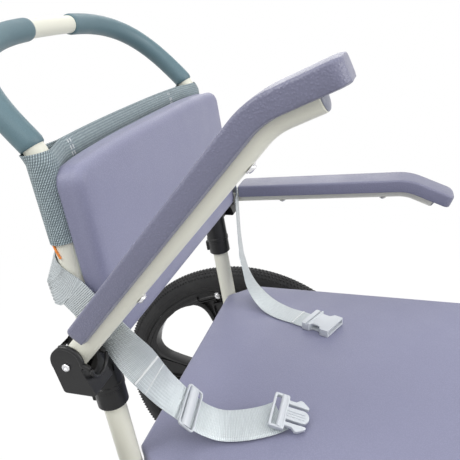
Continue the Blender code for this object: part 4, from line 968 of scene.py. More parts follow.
def makeCushions():
    front = seat["rear"] - seat["depth"]
    outline = cornered(seat["half"], front, seat["rear"], seat["frontCorner"], seat["cut"])
    bm = cushionBody(outline, seat["thickness"], seat["edge"], seat["crown"], seat["pull"],
                     Matrix.Translation((0, 0, seat["bottom"])))
    thing = addPiece("seatCushion", bm, "lavender_foam", "seat_cover", ["seat_pad"], 60.0)
    halfY = (backRest["top"] - backRest["bottom"]) / 2
    outline = []
    for x, y in roundedRectangle(backRest["half"], halfY, backRest["corner"], 0.006):
        # the top edge is bowed
        rise = backRest["rise"] * (1 - abs(x / backRest["half"]) ** 3.5)
        outline.append((x, y + rise * max(0.0, y / halfY)))
    place = postFrame(0.0, backRest["bottom"] + halfY, backRest["rear"])
    bm = cushionBody(outline, backRest["thickness"], backRest["edge"], backRest["crown"],
                     backRest["pull"], place)
    thing = addPiece("backCushion", bm, "lavender_foam", "frame", ["back_pad"], 60.0)
    grooves = []
    for x in (post["x"], -post["x"]):
        line = [onPost(x, along) for along in backRest["grooveEnds"]]
        grooves.append(toolFrom(pipe(line, backRest["groove"], 48)))
    cutWith(thing, grooves)


# arms

arm = {
    "x": 0.239, "along": 0.0918, "forward": 0.0042,     # the pivot, on the post
    "down": 4.0, "raised": 49.1, "up": 97.7,            # degrees above level
    "rear": 0.011, "straight": 0.292, "bend": 0.060, "droop": radians(26.0), "front": 0.028,
    "padStart": 0.0378, "padWidth": 0.0476, "padHeight": 0.0203,
    "overhang": 0.024, "rearRound": 0.0065, "frontRound": 0.0105,
    "screws": (0.1075, 0.2688), "screwHead": 0.0042, "headHigh": 0.0024, "washer": 0.0008,
    "plug": ((0.0, 0.0036), (0.005, 0.0034), (0.0090, 0.0027), (0.0112, 0.0017), (0.0121, 0.0003),
             (0.0112, 0.0003), (0.0110, -0.010), (0.0, -0.010)),
}


def armFrame(sign):
    # the left arm is down, the right one half raised
    angle = radians(arm["down"] if sign > 0 else arm["raised"])
    pivot = onPost(sign * arm["x"], arm["along"], arm["forward"])
    return Matrix.Translation(pivot) @ Matrix.Rotation(-angle, 4, "X")


def armStations(start, overhang, spacing):
    # (length, height, droop) along the arm from start to the tube's end and past it
    stations = []
    count = max(1, round((arm["straight"] - start) / spacing))
    for number in range(count + 1):
        stations.append((start + (arm["straight"] - start) * number / count, 0.0, 0.0))
    for step in range(1, 13):
        droop = arm["droop"] * step / 12
        length = arm["straight"] + arm["bend"] * sin(droop)
        stations.append((length, -arm["bend"] * (1 - cos(droop)), droop))
    length, height, droop = stations[-1]
    last = arm["front"] + overhang
    count = max(1, round(last / spacing))
    for number in range(1, count + 1):
        step = last * number / count
        stations.append((length + step * cos(droop), height - step * sin(droop), droop))
    return stations


def padSection(half, top, low, hollow):
    # one closed loop of (across, up): the tube's groove below, soft shoulders above
    # hollow 1 is the full groove, 0 fills it
    groove = min(post["radius"] + 0.0005, half - 0.002)
    lowRound = 0.003
    topRound = 0.0034
    under = arc((0.0, 0.0), groove, pi, 0.0, 16)
    points = [(x, low + (y - low) * hollow if y > low else low) for x, y in under]
    points += arc((half - lowRound * 0.5, low + lowRound), lowRound * 0.5, -pi / 2, 0.0, 3)
    points += [(half + 0.0003, low + (top - low) * 0.45)]
    points += arc((half - topRound, top - topRound), topRound, 0.0, pi / 2, 6)
    points += [(half * 0.35, top + 0.0003)]
    points += [(-x, y) for x, y in reversed(points[len(under):])]
    return points


def roundOff(distance, radius):
    # how far a rounded end has drawn in at this distance from its tip
    if distance >= radius:
        return 0.0
    return radius - sqrt(max(0.0, radius * radius - (radius - distance) ** 2))


def makeArms():
    for side, sign in sides:
        place = armFrame(sign)
        body = f"arm_{side}"
        stations = armStations(-arm["rear"], 0.0, 0.02)
        path = [place @ Vector((0.0, -length, height)) for length, height, droop in stations]
        bm = pipe(path, post["radius"], 40, post["wall"])
        addPiece(f"armTube.{side}", bm, "cream_coat", body, [f"arm_tube_{side}"])
        makeArmPad(side, place, body)
        makeArmPlug(side, place, body)
        for number, spot in enumerate(arm["screws"]):
            makeArmScrew(f"armScrew.{side}.{number + 1}", place, spot, body, f"arm_screw_{side}_{number + 1}")


def makeArmPad(side, place, body):
    stations = armStations(arm["padStart"], arm["overhang"], 0.010)
    rearRound, frontRound = arm["rearRound"], arm["frontRound"]
    total = [0.0]
    for before, after in zip(stations, stations[1:]):
        total.append(total[-1] + hypot(after[0] - before[0], after[1] - before[1]))
    length = total[-1]
    tubeEnd = length - arm["overhang"]
    spots = sorted(set([rearRound * (1 - cos(pi / 2 * n / 7)) for n in range(8)]
                       + [length - frontRound * (1 - cos(pi / 2 * n / 9)) for n in range(10)]
                       + [tubeEnd + 0.004 + 0.001 * n for n in range(5)]
                       + [value for value in total if rearRound * 1.1 < value < length - frontRound * 1.1]))
    bm = bmesh.new()
    rings = []
    for spot in spots:
        index = min(max(n for n in range(len(total)) if total[n] <= spot + 1e-9), len(total) - 2)
        share = (spot - total[index]) / (total[index + 1] - total[index])
        along, height, droop = (a + (b - a) * share for a, b in zip(stations[index], stations[index + 1]))
        rear = roundOff(spot, rearRound)
        front = roundOff(length - spot, frontRound)
        half = arm["padWidth"] / 2 - rear * 0.8 - front
        top = arm["padHeight"] - rear * 0.45 - front * 0.22
        low = front * 0.15
        hollow = min(1.0, max(0.0, (tubeEnd + 0.008 - spot) / 0.004))
        ring = []
        for x, up in padSection(half, top, low, hollow):
            point = Vector((x, -(along + up * sin(droop)), height + up * cos(droop)))
            ring.append(bm.verts.new(place @ point))
        rings.append(ring)
    for first, second in zip(rings, rings[1:]):
        bridge(bm, first, second)
    bm.faces.new(rings[0])
    bm.faces.new(rings[-1])
    thing = addPiece(f"armCushion.{side}", bm, "lavender_foam", body, [f"arm_pad_{side}"], 50.0, armSkinPaintedShade)


def makeArmPlug(side, place, body):
    length, height, droop = armStations(0.0, 0.0, 0.05)[-1]
    ahead = Matrix.Translation((0.0, -length, height)) @ Matrix.Rotation(pi / 2 + droop, 4, "X")
    bm = turned(arm["plug"], 36, place @ ahead, False)
    addPiece(f"armPlug.{side}", bm, "grey_plastic", body, [f"arm_plug_{side}"], finish=capPlastic)


def screwHead(place, radius, height):
    # pan head; the place's +Z points out of the surface
    steps = 8
    profile = [(0.0, height)]
    for step in range(1, steps + 1):
        angle = pi / 2 * step / steps
        profile.append((radius * sin(angle), height * (0.35 + 0.65 * cos(angle))))
    profile += [(radius, 0.0), (radius * 0.5, 0.0), (radius * 0.5, -height), (0.0, -height)]
    return turned(profile, 28, place, False)


def crossRecess(place, radius, height):
    tools = []
    for turn in (0.0, pi / 2):
        outline = roundBox(radius * 0.62, radius * 0.16, 8, 12)
        spot = place @ Matrix.Translation((0, 0, height * 0.45)) @ Matrix.Rotation(turn, 4, "Z")
        tools.append(toolFrom(slab(outline, 0.0, height, spot)))
    return tools


def makeArmScrew(name, place, spot, body, node):
    below = Matrix.Translation((0.0, -spot, -post["radius"] - 0.0002)) @ Matrix.Rotation(pi, 4, "X")
    under = place @ below
    rim, thick = arm["screwHead"] + 0.0012, arm["washer"]
    washer = turned([(rim, 0.0), (rim, thick), (0.002, thick), (0.002, 0.0)], 28, under)
    head = under @ Matrix.Translation((0, 0, thick))
    bm = addTo(screwHead(head, arm["screwHead"], arm["headHigh"]), washer)
    thing = addPiece(name, bm, "bright_steel", body, [node])
    cutWith(thing, crossRecess(head, arm["screwHead"], arm["headHigh"]))


# arm brackets

bracket = {
    "cheek": 0.0168, "slot": 0.0129, "crown": 0.0167, "rise": 0.004, "drop": 0.031,
    "front": 0.0265, "rear": 0.009, "corner": 0.0035,
    "sleeve": 0.0171, "sleeveEnds": (0.0045, 0.080), "collarEnds": (0.026, 0.033), "bore": (-0.05, 0.15),
    "web": (0.020, 0.0207),                     # depth and height of the web between sleeve and cheeks
    "sweep": 0.0172, "reach": 0.06, "lip": 0.0019, "bolt": 0.00425,
    "grooves": ((0.0441, 75), (0.0481, 61), (0.0504, 48), (0.0521, 35.5), (0.0543, 20.5)),  # height, degrees
}


def makeBrackets():
    for side, sign in sides:
        pivot = onPost(sign * arm["x"], arm["along"], arm["forward"])
        place = sideFrame(pivot.x, pivot.y, pivot.z)
        corner = bracket["corner"]
        low = -bracket["drop"] + corner
        crown = arc((0.0, bracket["rise"]), bracket["crown"], radians(-25), radians(205), 40)
        foot = arc((bracket["rear"] - corner, low), corner, radians(-90), radians(-20), 5)
        toe = arc((-bracket["front"] + corner, low), corner, pi, 1.5 * pi, 5)
        bm = slab(foot + crown + toe, -bracket["cheek"], bracket["cheek"], place)
        thing = addPiece(f"armBracket.{side}", bm, "black_plastic", "frame", [f"arm_bracket_{side}"])
        x = sign * post["x"]
        radius = bracket["sleeve"]
        sleeve = pipe([onPost(x, along) for along in bracket["sleeveEnds"]], radius, 48, lip=0.0012)
        collar = pipe([onPost(x, along) for along in bracket["collarEnds"]], radius + 0.0009, 48, lip=0.0012)
        lug = slab(roundBox(0.0075, 0.0085, 6, 24), -0.0028, 0.0045, postFrame(x, 0.0175, -radius))
        web = bmesh.new()
        bmesh.ops.create_cube(web, size=1.0)
        outer = sign * (arm["x"] - bracket["slot"] - 0.002)
        bmesh.ops.scale(web, verts=web.verts, vec=(abs(outer - x), *bracket["web"]))
        bmesh.ops.translate(web, verts=web.verts, vec=((outer + x) / 2, pivot.y - 0.002, pivot.z - 0.0206))
        cutWith(thing, [toolFrom(bm) for bm in (sleeve, collar, lug, web)], "UNION")
        tools = [pipe([onPost(x, along) for along in bracket["bore"]], post["radius"] + 0.0002, 48)]
        tools += armSlot(pivot, place) + sleeveGrooves(x, sign)
        cutWith(thing, [toolFrom(tool) for tool in tools])
        roundOver(thing, 0.0009)
        makeBracketLips(side, sign, place)
        makePivotBolt(side, sign, pivot)


def armSlot(pivot, place):
    # room for the arm: the sweep of its rear end, the fan it swings through, and a round trough below
    low, high = radians(arm["down"]), radians(arm["up"])
    half, sweep, reach = bracket["slot"], bracket["sweep"], bracket["reach"]
    lean = asin(half / sweep)
    points = arc((0.0, 0.0), sweep, high + lean, 2 * pi + low - lean, 36)
    points += [(out * cos(low), out * sin(low)) for out in (sweep * 0.76, reach)]
    points.append((reach, reach))
    points.append((reach * cos(high) - half * sin(high), reach * sin(high) + half * cos(high)))
    fan = slab([(-ahead, up) for ahead, up in points], -half, half, place)
    along = Vector((0.0, -cos(low), sin(low)))
    return [fan, pipe([pivot, pivot + along * reach], half, 48, lip=0.0001)]


def sleeveGrooves(x, sign):
    # short upright slots under the sleeve's shoulder
    grooves = []
    for along, degrees in bracket["grooves"]:
        place = postFrame(x, along, 0.0) @ Matrix.Rotation(radians(degrees) * sign, 4, "Y")
        outline = roundBox(0.0011, 0.0046, 4, 12)
        grooves.append(slab(outline, bracket["sleeve"] - 0.0024, bracket["sleeve"] + 0.01, place))
    return grooves


def makeBracketLips(side, sign, place):
    # rounded rim on the open edge of each cheek, and the rim of the trough in front
    front = bracket["front"]
    thick = (bracket["cheek"] - bracket["slot"]) / 2
    for face in (-1, 1):
        offset = face * (bracket["slot"] + thick)
        start, end = radians(68), radians(183)
        crown = arc((0.0, bracket["rise"]), bracket["crown"] - 0.0006, start, end, 14)
        line = crown + [(-front * 0.78, 0.0012), (-front + 0.0022, -0.0008)]
        curve = smoothPath([place @ Vector((x, y, offset)) for x, y in line], 0.002)
        bm = pipe(curve, thick + 0.0008, 14, lip=0.0012)
        where = "outer" if face == sign else "inner"
        addPiece(f"cheekRim.{side}.{where}", bm, "black_plastic", "frame")
    cup = arc((0.0, -0.0008), bracket["slot"] + thick, pi, 2 * pi, 28)
    bm = pipe([place @ Vector((-front + 0.0014, y, x)) for x, y in cup], bracket["lip"], 14, lip=0.0008)
    addPiece(f"troughRim.{side}", bm, "black_plastic", "frame")


def makePivotBolt(side, sign, pivot):
    outer = sideways((pivot.x + sign * (bracket["cheek"] + 0.0003), pivot.y, pivot.z), sign)
    bm = screwHead(outer, bracket["bolt"], 0.003)
    thing = addPiece(f"pivotBolt.{side}", bm, "bright_steel", "frame", [f"arm_bolt_{side}"])
    hexagon = arc((0.0, 0.0), 0.0020, 0.0, 2 * pi, 6)[:-1]
    cutWith(thing, [toolFrom(slab(hexagon, 0.0012, 0.006, outer))])
    across = Vector((sign * bracket["cheek"], 0, 0))
    addPiece(f"pivotPin.{side}", pipe([pivot + across, pivot - across], 0.003, 20), "bright_steel", "frame")


# wheels

wheel = {
    "radius": 0.262, "tyreHalf": 0.018,
    "rim": 0.2255, "rimHalf": 0.014, "rimInside": 0.203, "web": 0.005, "hubHalf": 0.030,
    "spokes": 5, "window": radians(139.0), "span": radians(25.6),
    "middle": 0.151, "reach": 0.061, "squareness": 3.4,     # a window's middle, half height and form
    "lip": 0.0065, "lipHigh": 0.0065,
}
pocket = {"middle": 0.162, "half": radians(6.6), "reach": 0.031, "wall": 0.0026, "high": 0.0045}
rimFrame = {"middle": 0.2125, "half": 0.095, "reach": 0.0095, "wall": 0.0018, "high": 0.0022, "lean": 0.115}
spokeRib = {"from": 0.046, "outerFrom": 0.195, "half": 0.0015, "high": 0.0035, "leans": (-0.05, 0.0, 0.05)}
rimRib = {"count": 30, "middle": 0.2192, "half": 0.0010 / 0.219, "reach": 0.0028, "high": 0.0007}
rimBead = {"radius": 0.2225, "lift": 0.0004, "half": 0.0011}


def polarBox(middleAngle, middle, halfAngle, reach, power, count):
    # a box with round corners, bent round the wheel's axis
    points = []
    for turn, out in roundBox(halfAngle, reach, power, count):
        radius = middle + out
        points.append((-cos(middleAngle + turn) * radius, sin(middleAngle + turn) * radius))
    return points


def windowShape(number, grow, count=44):
    angle = wheel["window"] + number * 2 * pi / wheel["spokes"]
    return polarBox(angle, wheel["middle"], wheel["span"] + grow / wheel["middle"], wheel["reach"] + grow,
                    wheel["squareness"], count)


def spokeAngle(number):
    # half way between two windows
    return wheel["window"] + (number + 0.5) * 2 * pi / wheel["spokes"]


def ringSlab(outer, inner, low, high, place):
    # flat ring between two outlines of as many points
    bm = bmesh.new()
    loops = []
    for outline, height in ((outer, low), (outer, high), (inner, high), (inner, low)):
        loops.append([bm.verts.new(place @ Vector((x, y, height))) for x, y in outline])
    for first, second in zip(loops, loops[1:] + loops[:1]):
        bridge(bm, first, second)
    return bm


def makeWheels():
    for side, sign in sides:
        place = axleFrame(sign, wheelX, axleY, wheelZ)
        flat = sideFrame(sign * wheelX, axleY, wheelZ)
        rim, web, hub = wheel["rimHalf"], wheel["web"], wheel["hubHalf"]
        inside, outside = wheel["rimInside"], wheel["rim"]
        face = rim + 0.0008
        # one face from the rim to the bore
        half = [(outside, rim), (outside - 0.003, face), (outside - 0.007, face),
                (outside - 0.0085, face - 0.0022), (inside + 0.0085, face - 0.0022),
                (inside + 0.007, face - 0.0005), (inside + 0.003, face - 0.0005), (inside, rim - 0.003),
                (inside - 0.003, web + 0.002), (inside - 0.007, web), (0.046, web), (0.038, web + 0.004),
                (0.030, hub - 0.006), (0.027, hub - 0.001), (0.024, hub), (0.0063, hub)]
        profile = half[::-1] + [(outside - 0.004, rim * 0.55), (outside - 0.004, -rim * 0.55)]
        profile += [(radius, -height) for radius, height in half]
        bm = turned(profile, 120, place)
        body = f"drive_wheel_{side}"
        thing = addPiece(f"mouldedWheel.{side}", bm, "black_plastic", body, [f"wheel_{side}"])
        # a raised lip round each window, then the windows themselves
        steps = ((wheel["lip"], web + wheel["lipHigh"], "UNION"), (0.0, 0.1, "DIFFERENCE"))
        for grow, high, operation in steps:
            shapes = [slab(windowShape(n, grow), -high, high, flat) for n in range(wheel["spokes"])]
            cutWith(thing, [toolFrom(shape) for shape in shapes], operation)
        roundOver(thing, 0.0011, 2)
        bm = wheelRibs(flat)
        addPiece(f"wheelRibs.{side}", bm, "black_plastic", body)
        makeTyre(side, place, body)
        makeHandRim(side, sign, place, flat, body)
        makeAxle(side, sign)


def addFrame(bm, angle, shape, high, flat):
    # a thin raised frame on both faces
    outer = polarBox(angle, shape["middle"], shape["half"], shape["reach"], 5, 36)
    inner = polarBox(angle, shape["middle"], shape["half"] - shape["wall"] / shape["middle"],
                     shape["reach"] - shape["wall"], 5, 36)
    addTo(bm, ringSlab(outer, inner, -high, high, flat))


def wheelRibs(flat):
    # on each spoke a framed pocket with ribs at both ends and two frames on the rim
    # short ribs and a bead run round the rim
    bm = bmesh.new()
    web, rim = wheel["web"], wheel["rimHalf"]
    runs = ((spokeRib["from"], pocket["middle"] - pocket["reach"] - 0.004),
            (spokeRib["outerFrom"], wheel["rimInside"] + 0.002))
    for number in range(wheel["spokes"]):
        angle = spokeAngle(number)
        addFrame(bm, angle, pocket, web + pocket["high"], flat)
        for lean in (-rimFrame["lean"], rimFrame["lean"]):
            addFrame(bm, angle + lean, rimFrame, rim + rimFrame["high"], flat)
        for low, high in runs:
            middle = (low + high) / 2
            for lean in spokeRib["leans"]:
                rib = polarBox(angle + lean, middle, spokeRib["half"] / middle, (high - low) / 2, 8, 12)
                addTo(bm, slab(rib, -web - spokeRib["high"], web + spokeRib["high"], flat))
    for number in range(rimRib["count"]):
        angle = 2 * pi * number / rimRib["count"]
        rib = polarBox(angle, rimRib["middle"], rimRib["half"], rimRib["reach"], 8, 8)
        addTo(bm, slab(rib, -rim - rimRib["high"], rim + rimRib["high"], flat))
    turn = flat @ Matrix.Rotation(pi / 2, 4, "Z")
    for face in (-1, 1):
        spot = (rimBead["radius"], face * (rim + rimBead["lift"]))
        ring = arc(spot, rimBead["half"], 0.0, 2 * pi, 8)[:-1]
        addTo(bm, turned(ring, 120, turn))
    return bm


def makeAxle(side, sign):
    head = wheelX + wheel["hubHalf"] + 0.0003
    plate = post["x"] - 0.0033
    profile = [(0.0, head + 0.0070), (0.006, head + 0.0067), (0.0095, head + 0.0055), (0.011, head + 0.003),
               (0.011, head), (0.006, head), (0.006, plate), (0.0105, plate), (0.011, plate - 0.001),
               (0.011, plate - 0.006), (0.0100, plate - 0.007), (0.0, plate - 0.007)]
    bm = turned(profile, 40, axleFrame(sign, 0.0, axleY, wheelZ), False)
    addPiece(f"axleBolt.{side}", bm, "bright_steel", "frame", [f"axle_{side}"])


tyre = {
    "blocks": 230, "knobHigh": 0.0011, "groove": 0.40, "shoulder": 0.004,
    "rows": ((-0.72, 0.09), (-0.46, 0.09), (-0.17, 0.10), (0.17, 0.10), (0.46, 0.09), (0.72, 0.09)),
    "rings": ((0.007, 0.985, 0.0009), (0.0125, 0.955, 0.0007)),     # on the side walls: up, out, thickness
}


def makeTyre(side, place, body):
    seatRadius = wheel["rim"] + 0.0002
    crown = wheel["radius"] - tyre["knobHigh"]
    half = wheel["tyreHalf"]
    high = crown - seatRadius
    shoulder = tyre["shoulder"]
    profile = [(seatRadius, half * 0.80), (seatRadius + 0.002, half * 0.93),
               (seatRadius + 0.005, half * 0.985)]
    for step in range(1, 24):
        angle = pi * step / 24
        up = max(0.0, sin(angle)) ** 0.8
        profile.append((seatRadius + shoulder + up * (high - shoulder), cos(angle) * half))
    profile += [(radius, -out) for radius, out in reversed(profile[:3])]
    bm = turned(profile, 160, place)
    for row, (offset, width) in enumerate(tyre["rows"]):
        addTread(bm, place, offset * half, width * half, crown, high, row)
    for edge in (-1, 1):
        for up, out, thick in tyre["rings"]:
            ring = arc((seatRadius + up, edge * out * half), thick, 0.0, 2 * pi, 8)[:-1]
            addTo(bm, turned(ring, 128, place))
    addPiece(f"tyreTread.{side}", bm, "black_rubber", body, [f"tyre_{side}"], 35.0)


def addTread(bm, place, across, width, crown, high, row):
    # raised rubber blocks round the tyre, staggered from row to row
    count = tyre["blocks"]
    share = abs(across) / wheel["tyreHalf"]
    drop = (high - tyre["shoulder"]) * (1 - (1 - share * share) ** 0.4)
    base = crown - drop - 0.0020
    top = crown - drop + tyre["knobHigh"]
    lean = copysign(0.0010, across)
    for number in range(count):
        start = 2 * pi * (number + (row % 2) * 0.5) / count
        end = start + 2 * pi / count * (1 - tyre["groove"])
        middle = (start + end) / 2
        corners = []
        for radius, shrink in ((base, 1.0), (top, 0.80)):
            for angle, edge in ((start, -1), (end, -1), (end, 1), (start, 1)):
                spot = middle + (angle - middle) * shrink
                height = across + edge * width * shrink + (lean if angle == end else -lean)
                point = Vector((radius * cos(spot), radius * sin(spot), height))
                corners.append(bm.verts.new(place @ point))
        for quad in ((0, 1, 2, 3), (4, 5, 6, 7), (0, 1, 5, 4), (1, 2, 6, 5), (2, 3, 7, 6), (3, 0, 4, 7)):
            bm.faces.new([corners[n] for n in quad])


handRim = {
    "radius": 0.222, "tube": 0.009, "offset": 0.045,
    "legs": 0.211, "legShares": (0.0, 0.15, 0.8, 1.0), "legRadii": (0.0075, 0.0055, 0.0055, 0.0065),
    "bolt": 0.0048, "boltHigh": 0.0030, "washer": 0.0068, "washerHigh": 0.0010,
}


def makeHandRim(side, sign, place, flat, body):
    ring = arc((handRim["radius"], handRim["offset"]), handRim["tube"], 0.0, 2 * pi, 20)[:-1]
    addPiece(f"pushRing.{side}", turned(ring, 128, place), "bright_steel", body, [f"hand_rim_{side}"])
    legs = bmesh.new()
    wide, high = handRim["washer"], handRim["washerHigh"]
    for number in range(wheel["spokes"]):
        angle = spokeAngle(number)
        spot = Vector((-cos(angle) * handRim["legs"], sin(angle) * handRim["legs"], 0.0))
        start = flat @ (spot + Vector((0, 0, sign * (wheel["rimHalf"] - 0.0012))))
        end = flat @ (spot + Vector((0, 0, sign * (handRim["offset"] - 0.002))))
        line = [start.lerp(end, share) for share in handRim["legShares"]]
        addTo(legs, pipe(line, handRim["legRadii"], 20))
        # the bolt's head and washer, on the rim's inner face
        inner = Vector((spot.x, spot.y, -sign * (wheel["rimHalf"] + 0.0003)))
        turn = sideways(flat @ inner, -sign)
        addTo(legs, turned([(wide, 0.0), (wide, high), (0.002, high), (0.002, 0.0)], 24, turn))
        head = turn @ Matrix.Translation((0, 0, high))
        addTo(legs, screwHead(head, handRim["bolt"], handRim["boltHigh"]))
    addPiece(f"ringStandoffs.{side}", legs, "bright_steel", body)


# casters

caster = {
    "radius": 0.075, "half": 0.0145, "trail": 0.035, "hubHalf": 0.0163,
    "inside": 0.017, "sheet": 0.003,                    # half the fork's gap, and its plate
    "holes": 6, "holeRing": 0.040, "hole": 0.0085,
    "nut": 0.0075, "nutHigh": 0.0040,
}


def makeCasters():
    for side, sign in sides:
        axle = tubes["legY"] + caster["trail"]
        roller = f"caster_roller_{side}"
        place = axleFrame(sign, post["x"], axle, caster["radius"])
        half, radius, hubHalf = caster["half"], caster["radius"], caster["hubHalf"]
        tread = [(radius - 0.011, half * 0.78), (radius - 0.0075, half), (radius - 0.002, half * 0.82),
                 (radius, half * 0.42)]
        tread += [(out, -wide) for out, wide in reversed(tread)]
        bm = turned(tread, 96, place)
        addPiece(f"casterTread.{side}", bm, "black_rubber", roller, [f"caster_wheel_{side}"])
        core = [(radius - 0.0112, half * 0.76), (radius - 0.016, half * 0.70), (radius - 0.019, half * 0.30),
                (0.026, half * 0.30), (0.022, half * 0.55), (0.016, hubHalf), (0.0046, hubHalf)]
        core += [(out, -wide) for out, wide in reversed(core)]
        bm = turned(core, 96, place)
        hub = addPiece(f"casterCore.{side}", bm, "grey_plastic", roller)
        holes = []
        for x, y in arc((0.0, 0.0), caster["holeRing"], 0.0, 2 * pi, caster["holes"])[:-1]:
            outline = roundBox(caster["hole"], caster["hole"], 2, 24)
            holes.append(toolFrom(slab(outline, -0.03, 0.03, place @ Matrix.Translation((x, y, 0)))))
        cutWith(hub, holes)
        roundOver(hub, 0.0006, 2)
        softenEdges(nodes[f"caster_fork_{side}"], 0.0008, 2)
        hexagon = arc((0.0, 0.0), caster["nut"], 0.0, 2 * pi, 6)[:-1]
        out = caster["inside"] + caster["sheet"] + 0.0002
        for name, end in (("b", -1), ("a", 1)):
            turn = sideways((sign * post["x"] + end * out, axle, radius), end)
            nut = slab(hexagon, 0.0, caster["nutHigh"], turn)
            addTo(nut, screwHead(turn @ Matrix.Translation((0, 0, 0.0036)), 0.0042, 0.0016))
            addPiece(f"casterNut.{side}.{name}", nut, "bright_steel", f"caster_{side}")


# footrests

footrest = {
    "tube": 0.011, "top": 0.360, "reach": 0.055, "slope": 0.030, "bend": 0.030,
    "hinge": 0.178, "frontY": -0.450, "end": 0.010, "plateTop": 0.1665,
    "ribs": 9, "ribHigh": 0.0012, "ribHalf": 0.0028,
    "ribInner": 0.016, "ribOuter": 0.034, "ribEnds": 0.020,
    "ribClear": 0.013,                  # keeps the last rib off the hanger when the plate is flipped up
}


def makeFootrests():
    for side, sign in sides:
        x = sign * post["x"]
        legY, hinge = tubes["legY"], footrest["hinge"]
        lowY = legY - footrest["reach"] - footrest["slope"]
        front = footrest["frontY"] + footrest["end"]
        corners = [(x, legY - post["radius"] - 0.0003, footrest["top"]),
                   (x, legY - footrest["reach"], footrest["top"]), (x, lowY, hinge), (x, front, hinge)]
        bm = pipe(roundedPath(corners, footrest["bend"]), footrest["tube"], 36, post["wall"])
        addPiece(f"hangerTube.{side}", bm, "cream_coat", "frame", [f"footrest_hanger_{side}"])
        bead = turned([(0.0107, 0.0), (0.0126, 0.0006), (0.0121, 0.0022), (0.0107, 0.0030)], 36,
                      Matrix.Translation(corners[0]) @ Matrix.Rotation(pi / 2, 4, "X"))
        addPiece(f"hangerBead.{side}", bead, "cream_coat", "frame")
        # rounded grip ribs across the plate's tread
        low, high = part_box(f"footplate_{side}")
        inner = min(abs(low.x), abs(high.x)) + footrest["ribInner"]
        outer = post["x"] - footrest["ribOuter"]
        first = low.y + footrest["ribEnds"]
        last = min(high.y - footrest["ribEnds"], lowY - footrest["ribClear"])
        half = footrest["ribHalf"]
        bm = bmesh.new()
        for number in range(footrest["ribs"]):
            y = first + (last - first) * number / (footrest["ribs"] - 1)
            section = []
            for ahead, up in arc((0.0, 0.0), half, 0.0, pi, 8):
                section.append((-ahead + y, footrest["plateTop"] + up * footrest["ribHigh"] / half))
            addTo(bm, crossBar(section, sign * inner, sign * outer, Matrix.Identity(4)))
        rubber = finishes["black_rubber"]
        addPiece(f"treadRibs.{side}", bm, "black_plastic", f"footrest_{side}", finish=rubber)
        softenEdges(nodes[f"footplate_{side}"], 0.0018)


def crossBar(section, start, end, place):
    # a (y, z) section carried along X
    bm = bmesh.new()
    first = [bm.verts.new(place @ Vector((start, y, z))) for y, z in section]
    last = [bm.verts.new(place @ Vector((end, y, z))) for y, z in section]
    bm.faces.new(first[::-1])
    bm.faces.new(last)
    bridge(bm, first, last)
    return bm


# brakes

brake = {
    "y": -0.090, "z": 0.405, "leverX": 0.2321, "shoeX": 0.290,
    "shoe": (-0.0693, 0.3658), "handle": (-0.1148, 0.4915),
    "rod": 0.006, "bend": 0.012, "hub": 0.013,
    "grip": 0.0088, "gripShares": (0.42, 1.012),        # shares of the way from pivot to handle
}


def makeBrakes():
    for side, sign in sides:
        x, body = sign * brake["leverX"], f"brake_{side}"
        corners = [(sign * brake["shoeX"], *brake["shoe"]), (x, *brake["shoe"]), (x, brake["y"], brake["z"]),
                   (x, *brake["handle"])]
        bm = pipe(roundedPath(corners, brake["bend"]), brake["rod"], 28)
        hub = [(brake["hub"], -0.0050), (brake["hub"] - 0.001, -0.0060), (0.0053, -0.0060), (0.0053, 0.0060),
               (brake["hub"] - 0.001, 0.0060), (brake["hub"], 0.0050)]
        addTo(bm, turned(hub, 40, axleFrame(sign, brake["leverX"], brake["y"], brake["z"])))
        addPiece(f"brakeRod.{side}", bm, "black_plastic", body, [f"brake_lever_{side}"])
        start, end = Vector(corners[2]), Vector(corners[3])
        low, high = brake["gripShares"]
        grip = [start.lerp(end, low + (high - low) * n / 20) for n in range(21)]
        radii = [brake["grip"] - (0.0009 if n % 4 == 2 and 2 < n < 19 else 0.0) for n in range(21)]
        bm = pipe(grip, radii, 32, lip=0.0025)
        addPiece(f"brakeGrip.{side}", bm, "black_plastic", body, finish=finishes["black_rubber"])
        softenEdges(nodes[f"brake_bracket_{side}"], 0.001)


# seat belt

belt = {
    "width": 0.038, "cloth": 0.0015,
    "along": 0.1475, "slope": radians(40.0),
    "level": (120.0, 220.0),                                # between these degrees the slope runs out
    "radius": 0.0139, "around": 300, "step": 4,             # the loop round the post, in degrees
    "fold": radians(60.0), "hug": radians(165.0),
    "lead": 0.012,                                          # from the loop back to the curve's handle
    "top": 0.523 + 0.0003 + 0.00075,                        # seat's top, a gap and half the cloth
    "tilt": radians(24.0),
}

